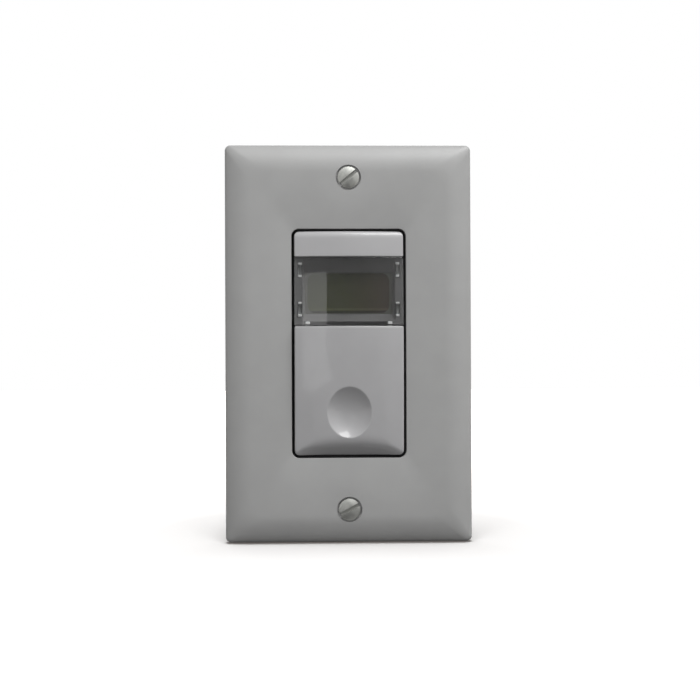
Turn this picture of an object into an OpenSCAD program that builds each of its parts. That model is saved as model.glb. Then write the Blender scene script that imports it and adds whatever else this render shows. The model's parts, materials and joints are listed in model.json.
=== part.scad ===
// Digital timer light switch for a one-gang wall box, with its wall plate.
// Every piece is drawn lying on its back: x right, y up the wall, z out of the wall.
// The wall surface is z = 0, and stand() turns each piece upright to face -Y.

/* [Wall plate] */
// Width of the wall plate
plate_w = 72; // [66:0.5:80]
// How far the plate reaches above and below its screws
plate_end = 9.58; // [8.6:0.02:13]
// How far the plate front stands out from the wall
plate_z = 6; // [5.4:0.1:6.8]
// Wall thickness of the plate
plate_wall = 2.2; // [1.8:0.1:2.5]
// Corner radius of the plate outline
plate_corner_r = 1.6; // [1:0.1:3]
// Width of the rolled border of the plate
plate_roll_w = 8; // [6:0.5:10]
// How far the border rolls back at its outer edge
plate_roll_drop = 2.7; // [1.5:0.1:3]
// Width of the opening for the device face
opening_w = 33.4; // [30:0.1:38]
// Height of the opening for the device face
opening_h = 66.8; // [60:0.1:76]
// Corner radius of the opening
opening_r = 2.2; // [1.8:0.1:2.8]

/* [Plate screws] */
// How far the plate screws stand beyond the box screws
plate_screw_step = 6.75; // [6.4:0.05:8]
// Radius of the plate screw thread
plate_screw_r = 1.7; // [1.5:0.05:1.9]
// Length of the plate screw behind the plate front
plate_screw_len = 13; // [10:0.5:16]
// Radius of the plate screw head
plate_head_r = 3.5; // [3.2:0.05:3.9]
// Depth of the cone under the plate screw head
plate_head_cone = 1.9; // [1.6:0.1:2.1]
// Height of the dome on the plate screw head
plate_head_dome = 0.7; // [0.4:0.1:0.9]
// Width of the driver slots
slot_w = 1; // [0.8:0.05:1.2]
// Turn of the slot in the upper plate screw
upper_slot_turn = 40; // [0:1:180]
// Turn of the slot in the lower plate screw
lower_slot_turn = 28; // [0:1:180]

/* [Device face] */
// Gap between the opening and the device face
face_gap = 0.8; // [0.6:0.05:1]
// How far the middle of the face stands out from the wall
face_z = 9; // [8.6:0.1:9.6]
// Radius of the face's crown from top to bottom
face_crown_r = 400; // [320:10:600]
// Radius of the face's crown from side to side
side_crown_r = 80; // [70:1:120]
// Radius of the roll along the bottom of the face
bottom_roll_r = 14; // [12:0.5:16]
// Slope of the face at its bottom edge
bottom_slope = 42; // [36:1:46]
// Radius of the roll along the top of the face
top_roll_r = 3.5; // [2.5:0.1:4.5]
// Slope of the face at its top edge
top_slope = 45; // [36:1:50]
// Height of the header cap above the display
header_h = 7.4; // [6.6:0.1:8.4]
// Height of the display window
window_h = 20.1; // [18:0.1:22]
// Gap between the header cap, the window and the button
seam = 0.15; // [0.1:0.01:0.2]

/* [Mounting strap] */
// Thickness of the strap
strap_t = 1.3; // [1:0.1:1.5]
// How far the strap reaches beyond the plate screws
strap_end = 4.78; // [4.2:0.02:5.6]
// Width of the strap tongues
tongue_w = 19; // [17:0.5:21]
// Radius of the plaster ears
ear_r = 4.6; // [4:0.1:5.2]
// How far the box screws stand beyond the rear housing
box_screw_out = 5.67; // [5.2:0.01:6.4]
// Radius of the box screw thread
box_screw_r = 1.75; // [1.6:0.05:1.9]
// Radius of the box screw neck that turns in the strap
box_neck_r = 1.3; // [1.1:0.05:1.4]
// Reach of the box screws behind the wall surface
box_screw_len = 22; // [16:1:28]
// Radius of the box screw head
box_head_r = 3.4; // [3:0.1:3.6]
// Thickness of the screw retainers
retainer_t = 0.4; // [0.3:0.05:0.5]

/* [Front chassis] */
// Thickness of the chassis deck
deck_t = 1.6; // [1.4:0.1:2]
// Room around the face inside the chassis tray
tray_gap = 0.5; // [0.4:0.05:0.6]
// Wall of the chassis tray
tray_wall = 0.7; // [0.6:0.05:0.8]
// Thickness of the chassis flange on the strap
flange_t = 1.2; // [1:0.1:1.4]
// Width of the chassis flange beyond the strap window
flange_lip = 3.2; // [2.8:0.1:3.6]

/* [Display] */
// Room beside the LCD glass inside the face
lcd_side = 2.8; // [2.6:0.05:3.2]
// Height of the LCD glass
lcd_h = 13.8; // [12.2:0.1:15]
// How far the LCD's middle sits below the middle of the window
lcd_drop = 0.475; // [0:0.025:0.8]
// Thickness of the LCD glass
lcd_t = 1.8; // [1.6:0.1:2]
// Thickness of the front polariser
polariser_t = 0.2; // [0.15:0.05:0.25]
// Level of the lens back above the wall surface
lens_back_z = 5.4; // [4.9:0.1:5.8]
// Thickness of the window legs
leg_t = 1.2; // [1:0.1:1.3]
// Height of the window legs along the face
leg_h = 3.6; // [3.2:0.1:4]

/* [On-off button] */
// Width of the thumb dimple
dimple_w = 13.1; // [11.6:0.1:14.6]
// Height of the thumb dimple
dimple_h = 14.9; // [13.4:0.1:16.4]
// Depth of the thumb dimple
dimple_depth = 1.7; // [1.3:0.1:1.9]
// Height of the dimple's middle above the bottom of the face
dimple_up = 12.6; // [11.4:0.1:13.6]
// Side wall of the button
button_wall = 1.8; // [1.6:0.1:2]
// Level of the button's underside
button_under_z = 5.6; // [5.1:0.1:6]
// Level of the button's lower rim
skirt_z = 2.1; // [1.9:0.1:2.4]
// Radius of the hinge pins
pin_r = 1.1; // [0.9:0.05:1.2]
// Radius of the hinge bearings
bearing_r = 2; // [1.8:0.1:2.2]
// Level of the hinge axis above the wall surface
hinge_z = 2.4; // [2.2:0.05:2.6]
// Distance of the hinge axis below the button's top edge
hinge_down = 3; // [2.7:0.1:3.3]

/* [Button springs] */
// Radius of the spring coils
spring_r = 2; // [1.8:0.05:2.2]
// Radius of the spring wire
spring_wire_r = 0.25; // [0.2:0.01:0.3]
// Turns of each spring
spring_turns = 4; // [3:0.5:5]

/* [Control board] */
// Thickness of both circuit boards
board_t = 1.6; // [1.2:0.1:1.8]
// Gap between the control board and the housing's screw columns
board_side = 0.8; // [0.5:0.1:1.2]
// Gap between the deck and the control board
board_gap = 1; // [0.8:0.1:1.2]
// Width of the on-off switch body
main_switch_w = 10; // [9:0.2:11.2]
// Radius of the on-off plunger
main_plunger_r = 2.6; // [2.2:0.1:3]
// Width of the adjust switch bodies
adjust_switch_w = 6; // [5.4:0.1:6.6]
// Radius of the adjust plungers
adjust_plunger_r = 1.75; // [1.5:0.05:2]
// Distance of the adjust switches in from the sides of the face
adjust_in = 5.7; // [5.2:0.1:6]
// Distance between neighbouring option sliders
option_pitch = 2.54; // [2.3:0.01:2.8]
// Travel of the option sliders
option_travel = 1.8; // [1.4:0.1:2]

/* [Rear housing] */
// Wall of the housing outside its screw columns
housing_side = 0.3; // [0.2:0.1:1]
// How far the housing reaches above and below the chassis
housing_end = 2.2; // [2:0.1:2.7]
// Depth of the rear housing behind the wall surface
housing_d = 34; // [31:0.5:40]
// Side wall of the rear housing
housing_wall = 1.8; // [1.6:0.1:2]
// Back wall of the rear housing
back_wall = 2; // [1.8:0.1:2.2]
// Corner radius of the rear housing
housing_r = 2.5; // [2:0.1:3]
// Bevel around the back of the rear housing
housing_bevel = 1; // [0.6:0.1:1.2]
// Depth of the label recess in the back
label_d = 0.4; // [0.2:0.05:0.5]
// Radius of the housing screws
housing_screw_r = 1.2; // [1:0.05:1.4]
// Radius of the housing screw heads
housing_head_r = 2.15; // [1.9:0.05:2.4]

/* [Terminals] */
// Width of the terminal wells
well_w = 11; // [10.2:0.1:12]
// Depth of the terminal wells in from the side
well_depth = 5; // [4.6:0.1:5.4]
// Distance of the wells above and below the middle
well_y = 15; // [13.4:0.1:16.6]
// Thickness of the terminal plates
terminal_t = 1; // [0.8:0.1:1.1]
// Radius of the terminal screw thread
terminal_screw_r = 2; // [1.8:0.05:2.2]
// Radius of the terminal screw heads
terminal_head_r = 3.7; // [3.3:0.1:4.1]

/* [Power supply] */
// Height of the power board
power_h = 58; // [52:0.5:64]
// Length of the relay
relay_l = 24; // [21.6:0.2:26]
// Width of the relay
relay_w = 12; // [10.8:0.1:13]
// Height of the relay
relay_h = 15; // [13.5:0.1:16.5]
// Width of the film capacitor
film_w = 8; // [7:0.2:9]
// Height of the film capacitor
film_h = 13; // [11:0.5:15]
// Radius of the electrolytic capacitor
electro_r = 4.2; // [3.5:0.1:4.6]
// Height of the electrolytic capacitor
electro_h = 14; // [10:0.5:16]
// Radius of the varistor disc
varistor_r = 4.2; // [3.5:0.1:4.6]

/* [Hidden] */
$fn = 96;
// Clearances and small shared values
run_fit = 0.05;
lay_gap = 0.1;
free_gap = 0.3;
cut_over = 1;
arc_lift = 0.03;
sliver = 0.01;
sink = 0.4;
slot_depth = 1.1;
fine_slot_w = 0.5;
fine_slot_depth = 0.5;
screw_end_gap = 0.2;

// Device face
face_w = opening_w - 2 * face_gap;
face_h = opening_h - 2 * face_gap;
face_r = opening_r - face_gap;
header_y0 = face_h / 2 - header_h;
window_y1 = header_y0 - seam;
window_y0 = header_y0 - window_h;
window_mid_y = (window_y0 + window_y1) / 2;
button_y1 = window_y0 - seam;
crown_z = face_z - face_crown_r;
crown_facets = 400;
bottom_roll_y = -face_h / 2 + bottom_roll_r * sin(bottom_slope);
bottom_roll_z = crown_z + sqrt(pow(face_crown_r - bottom_roll_r, 2) - pow(bottom_roll_y, 2)) + arc_lift;
bottom_meet_y = bottom_roll_y * face_crown_r / (face_crown_r - bottom_roll_r);
top_roll_y = face_h / 2 - top_roll_r * sin(top_slope);
top_roll_z = crown_z + sqrt(pow(face_crown_r - top_roll_r, 2) - pow(top_roll_y, 2)) + arc_lift;
top_meet_y = top_roll_y * face_crown_r / (face_crown_r - top_roll_r);
dimple_y = -face_h / 2 + dimple_up;

// Level of the face along its middle line, at and above its bottom roll
function face_front_z(y) = y < bottom_meet_y
    ? bottom_roll_z + sqrt(pow(bottom_roll_r, 2) - pow(y - bottom_roll_y, 2))
    : crown_z + sqrt(pow(face_crown_r, 2) - pow(y, 2));

// Tray of the chassis around the face
tray_w = face_w + 2 * tray_gap;
tray_h = face_h + 2 * tray_gap;
tray_r = face_r + tray_gap;
ring_w = tray_w + 2 * tray_wall;
ring_h = tray_h + 2 * tray_wall;
ring_r = tray_r + tray_wall;

// Heights and widths from the tray outwards. In a one-gang box the box screws are
// 83.34 apart and the plate screws 96.84.
clamp_wall = 1.1;
clamp_x = ring_w / 2 + housing_screw_r + clamp_wall;
column_wall = 0.45;
column_r = housing_head_r + column_wall;
housing_w = 2 * (clamp_x + column_r + housing_side);
housing_h = ring_h + 2 * housing_end;
box_screw_pitch = housing_h + 2 * box_screw_out;
plate_screw_pitch = box_screw_pitch + 2 * plate_screw_step;
strap_h = plate_screw_pitch + 2 * strap_end;
plate_h = plate_screw_pitch + 2 * plate_end;

// Wall plate
plate_back_z = plate_z - plate_wall;
plate_roll_r = (plate_roll_w * plate_roll_w + plate_roll_drop * plate_roll_drop) / (2 * plate_roll_drop);
plate_inner_roll_r = plate_roll_r - plate_wall;
plate_boss_wall = 1.2;
plate_boss_r = plate_screw_r + plate_boss_wall;
plate_boss_z = strap_t + free_gap;
plate_bore_gap = 0.2;
head_recess = 0.25;
head_ring = 0.25;
plate_slot_sink = 0.5;

// Chassis
strap_window_w = ring_w + 2 * lay_gap;
strap_window_h = ring_h + 2 * lay_gap;
strap_window_r = ring_r + lay_gap;
flange_end_in = 0.5;
flange_w = strap_window_w + 2 * flange_lip;
flange_h = strap_window_h + 2 * (flange_lip - flange_end_in);
flange_z1 = strap_t + flange_t;
clamp_boss_r = housing_screw_r + clamp_wall;
clamp_boss_z = plate_back_z - free_gap - lay_gap;
clamp_roof = 0.3;
clamp_bore_z = clamp_boss_z - clamp_roof;
deck_skin = 0.5;

// Strap
strap_mid_end = 1.5;
strap_mid_h = housing_h + 2 * strap_mid_end;
strap_corner_r = 2;
box_slot_gap = 0.15;
box_slot_w = 2 * (box_neck_r + box_slot_gap);
box_slot_play = 3;
box_slot_l = box_slot_w + box_slot_play;
box_head_h = plate_back_z - free_gap - strap_t;
retainer_w = 8;
ear_web = 1;
ear_in = 1.5;
ear_x = tongue_w / 2 + ear_r - ear_web;
ear_y = strap_h / 2 - ear_r - ear_in;
ear_hole_r = 1.4;
ground_in = 7.3;
ground_x = -housing_w / 2 + ground_in;
ground_tab_w = 8.4;
ground_screw_z = -7;
ground_tab_over = 2.3;
ground_tab_z = ground_screw_z - terminal_head_r - ground_tab_over;
ground_y0 = -strap_mid_h / 2 - strap_t;
ground_screw_gap = 0.8;

// Rear housing and its screws
inner_w = housing_w - 2 * housing_wall;
inner_h = housing_h - 2 * housing_wall;
inner_r = housing_r - housing_wall / 2;
clamp_in = 4.4;
clamp_y = housing_h / 2 - clamp_in;
housing_head_h = 1.7;
cross_l = 2.6;
cross_w = 0.7;
cross_depth = 0.8;
label_w = 24;
label_h = 34;
label_x = -2;
label_y = -4;
label_r = 1.5;
gauge_w = 3;
gauge_l = 16;
gauge_in = 10;
gauge_y = housing_h / 2 - gauge_in;
gauge_r = 1.4;
head_sink_gap = 0.2;
head_sink_over = 0.4;
head_sink_r = housing_head_r + head_sink_gap;
head_sink_d = housing_head_h + head_sink_over;

// Terminal wells
well_floor_x = housing_w / 2 - well_depth;
well_skin = 1.5;

// Button works
hinge_y = button_y1 - hinge_down;
pocket_x = face_w / 2 - button_wall;
button_foot = 2.8;
pocket_y0 = -face_h / 2 + button_foot;
hinge_roof_drop = 0.6;
bearing_t = 1.8;
bearing_side = 0.9;
bearing_foot_in = 0.2;
bearing_x0 = pocket_x - bearing_side - bearing_t;
arm_gap = 0.3;
arm_x1 = bearing_x0 - arm_gap;
arm_t = 1.8;
arm_in = 0.2;
pin_over = 0.2;
pin_x1 = bearing_x0 + bearing_t + pin_over;
pad_over = 0.65;
pad_r = dimple_w / 2 + pad_over;
pad_drop = 1.4;
pad_z = button_under_z - pad_drop;
post_r = 1.6;
post_h = 0.5;
post_gap = 0.1;
plunger_top_z = pad_z - post_h - post_gap;
hook_side = 5.1;
hook_x = pocket_x - hook_side;
hook_w = 2.4;
hook_in = 5.3;
hook_y = -face_h / 2 + hook_in;
hook_l = 1.6;
barb = 0.8;
barb_gap = 0.15;
barb_t = 0.85;
barb_z1 = -deck_t - barb_gap;
barb_z0 = barb_z1 - barb_t;
hook_slot_w = hook_w + 2 * free_gap;
hook_slot_l = hook_l + 2 * free_gap;
dimple_high_z = face_front_z(dimple_y + dimple_h / 2);
dimple_low_z = face_front_z(dimple_y - dimple_h / 2);
dimple_mid_z = (dimple_high_z + dimple_low_z) / 2;
dimple_tilt = atan((dimple_high_z - dimple_low_z) / dimple_h);
dimple_chord = dimple_h / cos(dimple_tilt);
dimple_rx = (dimple_w * dimple_w / 4 + dimple_depth * dimple_depth) / (2 * dimple_depth);
dimple_ry = (dimple_chord * dimple_chord / 4 + dimple_depth * dimple_depth) / (2 * dimple_depth);

// Header cap
header_wall = 1.6;
header_roof_z = 4.4;
header_peg_r = 1.2;
header_peg_y = header_y0 + header_h / 2;

// Button springs
spring_side = 3.7;
spring_x = pocket_x - spring_side;
spring_y = dimple_y;
spring_peg_gap = 0.4;
spring_peg_r = spring_r - spring_wire_r - spring_peg_gap;
spring_peg_h = 1.2;
spring_rings = 8;
spring_sides = 6;

// Switches on the control board
board_z1 = -deck_t - board_gap;
board_z0 = board_z1 - board_t;
switch_z1 = 0.8;
switch_floor = 0.7;
main_stroke = 1;
main_bore_z0 = board_z1 + switch_floor;
main_plunger_z0 = main_bore_z0 + main_stroke;
main_hole_gap = 0.4;
main_hole_w = main_switch_w + 2 * main_hole_gap;
adjust_x = face_w / 2 - adjust_in;
adjust_down = 10.55;
adjust_y = button_y1 - adjust_down;
adjust_z1 = 0.9;
adjust_stroke = 0.3;
adjust_bore_z0 = board_z1 + switch_floor;
adjust_plunger_z0 = adjust_bore_z0 + adjust_stroke;
adjust_top_z = 1.9;
adjust_hole_w = adjust_switch_w + 2 * free_gap;
option_count = 4;
option_end = 1.6;
option_w = (option_count - 1) * option_pitch + 2 * option_end;
option_h = 6.2;
option_z1 = 0.6;
option_slot_d = 1.5;
option_knob_w = 1.1;
option_knob_h = 1.4;
option_knob_z1 = 1.1;
option_down = 3.75;
option_y = button_y1 - option_down;

// Control board
board_w = 2 * (clamp_x - column_r - board_side);
board_top_in = 1.1;
board_y1 = face_h / 2 - board_top_in;
board_end = 0.4;
board_y0 = dimple_y - main_switch_w / 2 - board_end;
board_screw_r = 0.9;
board_head_r = 1.7;
board_head_h = 1.1;
board_post_wall = 1;
board_post_r = board_screw_r + board_post_wall;
board_fix_in = 2.4;
board_fix_top = 2.2;
board_fix_drop = 6.9;
board_fix_x = board_w / 2 - board_fix_in;
board_fix_ys = [board_y1 - board_fix_top, adjust_y - board_fix_drop];
board_screw_z1 = -deck_skin;

// Power board
power_lift = 1.2;
power_z0 = -housing_d + back_wall + power_lift;
power_z1 = power_z0 + board_t;
power_side = 4.3;
power_x0 = -inner_w / 2 + power_side;
power_well_gap = 0.8;
power_x1 = well_floor_x - well_skin - power_well_gap;
power_fix_in = 3.4;
power_fix_y = power_h / 2 - power_fix_in;
power_fixes = [[power_x0 + power_fix_in, power_fix_y], [power_x1 - power_fix_in, -power_fix_y]];
power_post_wall = 1.6;
power_post_r = board_screw_r + power_post_wall;

// Display stack
lcd_w = face_w - 2 * lcd_side;
lcd_y = window_mid_y - lcd_drop;
frame_lens_gap = 0.2;
frame_top_z = lens_back_z - frame_lens_gap;
frame_side = 0.3;
frame_w = face_w - 2 * frame_side;
frame_foot = 0.4;
frame_y0 = window_y0 + frame_foot;
frame_y1 = window_y1 - free_gap;
lcd_top_z = 3;
lcd_front_z = lcd_top_z - lay_gap;
glass_z1 = lcd_front_z - polariser_t;
glass_z0 = glass_z1 - lcd_t;
glass_seat_z = glass_z1 + lay_gap;
polariser_side = 1.45;
polariser_end = 1.15;
polariser_r = 2.3;
view_side = 0.65;
view_end = 0.85;
view_w = lcd_w - 2 * view_side;
view_h = lcd_h - 2 * view_end;
funnel_side = 0.8;
funnel_top_in = 0.6;
funnel_bottom_in = 1;
funnel_top_y = frame_y1 - funnel_top_in;
funnel_bottom_y = frame_y0 + funnel_bottom_in;
lcd_pocket_gap = 0.2;
lcd_deck_side = 0.2;
lcd_deck_end = 0.1;
leg_in = 1.8;
leg_x = face_w / 2 - leg_in;
leg_z0 = 0.8;
leg_top_in = 3.65;
leg_bottom_in = 4.8;
leg_ys = [window_y1 - leg_top_in, window_y0 + leg_bottom_in];
zebra_w = 2;
zebra_side = 1.1;
zebra_l = lcd_w - 2 * zebra_side;
zebra_end = 0.3;
zebra_y = lcd_h / 2 - zebra_w / 2 - zebra_end;
light_side = 2.1;
light_gap = 1;
light_w = lcd_w - 2 * light_side;
light_h = lcd_h - 2 * (zebra_w + light_gap);
light_top_gap = 0.2;

// Parts on the back of the control board
chip_w = 11;
chip_h = 11;
chip_t = 1.6;
chip_drop = 1.6;
chip_y = lcd_y - chip_drop;
chip_leads = 8;
chip_lead_pitch = 1.1;
chip_lead_w = 0.45;
chip_lead_l = 1.1;
chip_lead_t = 0.3;
buzzer_r = 6;
buzzer_h = 5;
buzzer_drop = 0.4;
buzzer_y = adjust_y - buzzer_drop;
buzzer_hole_r = 1;
buzzer_hole_d = 1.5;
link_in = 2.4;
link_y = power_h / 2 - link_in;
link_pitch = 2.54;
link_pin_r = 0.35;
link_block_w = 5 * link_pitch;
link_block_h = 2.5;
link_over = 0.4;

// Terminals
well_h = 16.7;
well_z1 = power_z1 + well_h;
terminal_w = 9.2;
terminal_l = 13.7;
terminal_z1 = power_z1 + terminal_l;
terminal_screw_up = 7.7;
terminal_screw_z = power_z1 + terminal_screw_up;
terminal_head_h = 2.2;
wire_gap = 0.4;
tail_w = 4;
tail_l = 3.6;
tail_x0 = power_x1 - tail_l;
terminal_head_x = well_floor_x + lay_gap / 2 + terminal_t + wire_gap;
terminal_tip = 3.9;
terminal_tip_x = well_floor_x - terminal_tip;

// Relay
relay_in = 6.8;
relay_end = 12;
relay_x = power_x0 + relay_in;
relay_y = -power_h / 2 + relay_end + relay_l / 2;
relay_base_t = 1.6;
relay_skin = 0.9;
relay_z1 = power_z1 + relay_base_t;
yoke_w = 8;
yoke_t = 1.2;
yoke_y1 = 3;
arm_room = 2.9;
yoke_leg_z = power_z1 + relay_h - relay_skin - arm_room;
core_y = -4;
core_r = 1.5;
coil_r = 4.2;
coil_gap = 1.6;
coil_z0 = relay_z1 + yoke_t;
coil_z1 = yoke_leg_z - coil_gap;
knuckle_r = 0.42;
arm_lift = 0.15;
arm_plate_t = 1;
arm_reach = 6.6;
pole_gap = 0.5;
blade_gap = 0.5;
blade_y = yoke_y1 + blade_gap;
blade_t = 0.6;
blade_foot = 1.6;
blade_z0 = relay_z1 + blade_foot;
contact_up = 2.8;
contact_z = relay_z1 + contact_up;
contact_r = 1;
contact_t = 0.6;
contact_gap = 0.42;
fixed_y = blade_y + blade_t + 2 * contact_t + contact_gap;
fixed_l = 5.5;
fixed_z1 = relay_z1 + fixed_l;
armature_w = 7;

// Other parts on the power board, in a row beside the relay
parts_in = 9.8;
parts_x = power_x1 - parts_in;
film_l = 17;
film_end = 5.9;
film_y = -power_h / 2 + film_end + film_l / 2;
electro_gap = 2.3;
electro_y = film_y + film_l / 2 + electro_gap + electro_r;
varistor_t = 3.4;
varistor_gap = 3.1;
varistor_y = electro_y + electro_r + varistor_gap + varistor_t / 2;
varistor_leg_r = 0.4;
varistor_leg_x = 2.5;
varistor_lift = 1.4;
fuse_r = 1.7;
fuse_l = 8;
fuse_gap = 2.6;
fuse_y = varistor_y + varistor_t / 2 + fuse_gap + fuse_r;
fuse_lead_r = 0.35;
fuse_lift = 0.6;

wall_plate();
plate_screws();
mounting_strap();
box_screws();
screw_retainers();
ground_screw();
front_chassis();
header_cap();
display_window();
lcd_frame();
lcd_polariser();
lcd_glass();
lcd_backlight();
zebra_strips();
on_off_button();
button_springs();
control_board();
board_screws();
on_off_switch();
switch_plunger();
adjust_switches();
adjust_plunger(-1);  // hour_plunger
adjust_plunger(1);  // minute_plunger
option_switch();
option_slider(0);  // option_slider_1
option_slider(1);  // option_slider_2
option_slider(2);  // option_slider_3
option_slider(3);  // option_slider_4
microcontroller();
buzzer();
link_headers();
link_pins();
rear_housing();
housing_screws();
power_board();
power_board_screws();
terminal_plates();
terminal_screws();
relay_base();
relay_cover();
relay_coil();
relay_yoke();
relay_armature();
relay_contact();
film_capacitor();
electrolytic_capacitor();
varistor();
supply_fuse();

// Turns a piece drawn on its back upright, to face -Y
module stand() {
    rotate([90, 0, 0]) children();
}

// A flat outline made solid between two levels
module slab(z0, z1) {
    translate([0, 0, z0]) linear_extrude(z1 - z0) children();
}

// A cross-section (y, z) run along x
module along_x(length) {
    rotate([90, 0, 90]) linear_extrude(length, center = true) children();
}

// A cross-section (x, z) run along y
module along_y(length) {
    rotate([90, 0, 0]) linear_extrude(length, center = true) children();
}

// A rectangle about the middle with round corners
module rounded(w, h, r) {
    square([w - 2 * r, h], center = true);
    square([w, h - 2 * r], center = true);
    for (sx = [-1, 1], sy = [-1, 1]) {
        translate([sx * (w / 2 - r), sy * (h / 2 - r)]) circle(r);
    }
}

// A box given by its two corners
module span(low, high) {
    translate(low) cube(high - low);
}

// A cylinder along x from x0 to x1
module rod_x(x0, x1, y, z, r) {
    translate([x0, y, z]) rotate([0, 90, 0]) cylinder(r = r, h = x1 - x0);
}

// A cylinder along y from y0 to y1
module rod_y(x, y0, y1, z, r) {
    translate([x, y0, z]) rotate([-90, 0, 0]) cylinder(r = r, h = y1 - y0);
}

// A cylinder along z from z0 to z1
module rod_z(x, y, z0, z1, r) {
    translate([x, y, z0]) cylinder(r = r, h = z1 - z0);
}

// Flat front with a rolled border at both ends
module rolled_section(half, front, roll_x, roll_r) {
    intersection() {
        translate([-half, 0]) square([2 * half, front]);
        union() {
            translate([-roll_x, 0]) square([2 * roll_x, front]);
            for (side = [-1, 1]) {
                translate([side * roll_x, front - roll_r + arc_lift]) circle(roll_r);
            }
        }
    }
}

// The pillow form of the plate, drawn in from the outside by a given wall
module plate_form(wall, roll_r) {
    roll_x = plate_w / 2 - plate_roll_w;
    roll_y = plate_h / 2 - plate_roll_w;
    front = plate_z - wall;
    intersection() {
        along_y(plate_h) rolled_section(plate_w / 2 - wall, front, roll_x, roll_r);
        along_x(plate_w) rolled_section(plate_h / 2 - wall, front, roll_y, roll_r);
        slab(0, front) rounded(plate_w - 2 * wall, plate_h - 2 * wall, plate_corner_r);
    }
}

module wall_plate() {
    seat_r = plate_head_r + run_fit;
    bore_r = plate_screw_r + plate_bore_gap;
    inside_w = plate_w - 2 * plate_wall;
    inside_h = plate_h - 2 * plate_wall;
    stand() color("DarkGray") difference() {
        union() {
            difference() {
                plate_form(0, plate_roll_r);
                plate_form(plate_wall, plate_inner_roll_r);
                slab(-cut_over, sink) rounded(inside_w, inside_h, plate_corner_r);
            }
            for (side = [-1, 1]) {
                rod_z(0, side * plate_screw_pitch / 2, plate_boss_z, plate_z - sink, plate_boss_r);
            }
        }
        slab(-cut_over, plate_z + cut_over) rounded(opening_w, opening_h, opening_r);
        for (side = [-1, 1]) translate([0, side * plate_screw_pitch / 2, 0]) {
            rod_z(0, 0, -cut_over, plate_z, bore_r);
            translate([0, 0, plate_z - head_recess - plate_head_cone])
                cylinder(r1 = plate_screw_r + run_fit, r2 = seat_r, h = plate_head_cone);
            rod_z(0, 0, plate_z - head_recess, plate_z + cut_over, plate_head_r + head_ring);
        }
    }
}

module plate_screws() {
    head_z = plate_z - head_recess;
    dome_r = (plate_head_r * plate_head_r + plate_head_dome * plate_head_dome) / (2 * plate_head_dome);
    slot_l = 2 * plate_head_r + cut_over;
    slot_h = 2 * (plate_head_dome + plate_slot_sink);
    turns = [lower_slot_turn, upper_slot_turn];
    stand() color("Silver") for (i = [0, 1]) translate([0, (2 * i - 1) * plate_screw_pitch / 2, 0]) {
        difference() {
            union() {
                rod_z(0, 0, head_z - plate_screw_len, head_z - plate_head_cone + sink, plate_screw_r);
                translate([0, 0, head_z - plate_head_cone])
                    cylinder(r1 = plate_screw_r, r2 = plate_head_r, h = plate_head_cone);
                intersection() {
                    translate([0, 0, head_z + plate_head_dome - dome_r]) sphere(dome_r);
                    rod_z(0, 0, head_z, head_z + plate_head_dome, plate_head_r);
                }
            }
            rotate([0, 0, turns[i]]) translate([0, 0, head_z + plate_head_dome])
                cube([slot_l, slot_w, slot_h], center = true);
        }
    }
}

// Strap seen from the front, without its openings
module strap_outline() {
    rounded(housing_w, strap_mid_h, strap_corner_r);
    rounded(tongue_w, strap_h, strap_corner_r);
    for (sx = [-1, 1], sy = [-1, 1]) translate([sx * ear_x, sy * ear_y]) circle(ear_r);
}

// Everything cut out of the strap
module strap_openings() {
    rounded(strap_window_w, strap_window_h, strap_window_r);
    for (side = [-1, 1]) {
        translate([0, side * plate_screw_pitch / 2]) circle(plate_screw_r + run_fit);
        translate([0, side * box_screw_pitch / 2])
            rounded(box_slot_l, box_slot_w, box_slot_w / 2 - sliver);
    }
    for (sx = [-1, 1], sy = [-1, 1]) {
        translate([sx * ear_x, sy * ear_y]) circle(ear_hole_r);
        translate([sx * clamp_x, sy * clamp_y]) circle(housing_screw_r + lay_gap);
    }
}

module mounting_strap() {
    tab_x0 = ground_x - ground_tab_w / 2;
    tab_x1 = ground_x + ground_tab_w / 2;
    tab_y1 = ground_y0 + strap_t;
    hole_r = terminal_screw_r + run_fit;
    stand() color("LightSteelBlue") difference() {
        union() {
            slab(0, strap_t) difference() {
                strap_outline();
                strap_openings();
            }
            span([tab_x0, ground_y0, ground_tab_z], [tab_x1, tab_y1, strap_t]);
            span([tab_x0, ground_y0, 0], [tab_x1, tab_y1 + sink, strap_t]);
        }
        rod_y(ground_x, ground_y0 - cut_over, tab_y1 + cut_over, ground_screw_z, hole_r);
    }
}

module box_screws() {
    neck_z0 = -retainer_t - run_fit;
    head_z1 = strap_t + box_head_h;
    stand() color("Silver") for (side = [-1, 1]) translate([0, side * box_screw_pitch / 2, 0])
        difference() {
            union() {
                rod_z(0, 0, -box_screw_len, neck_z0, box_screw_r);
                rod_z(0, 0, neck_z0 - sink, strap_t + sink, box_neck_r);
                rod_z(0, 0, strap_t, head_z1, box_head_r);
            }
            translate([0, 0, head_z1])
                cube([2 * box_head_r + cut_over, slot_w, 2 * slot_depth], center = true);
        }
}

module screw_retainers() {
    stand() color("Tan") for (side = [-1, 1]) translate([0, side * box_screw_pitch / 2, 0]) {
        slab(-retainer_t, 0) difference() {
            square([retainer_w, retainer_w], center = true);
            circle(box_neck_r + run_fit);
        }
    }
}

module ground_screw() {
    head_y1 = ground_y0 - ground_screw_gap;
    head_y0 = head_y1 - terminal_head_h;
    stand() color("ForestGreen") difference() {
        union() {
            rod_y(ground_x, head_y0, head_y1, ground_screw_z, terminal_head_r);
            rod_y(ground_x, head_y1 - sink, -housing_h / 2 - free_gap, ground_screw_z, terminal_screw_r);
        }
        translate([ground_x, head_y0, ground_screw_z])
            cube([2 * terminal_head_r + cut_over, 2 * slot_depth, slot_w], center = true);
    }
}

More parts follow.
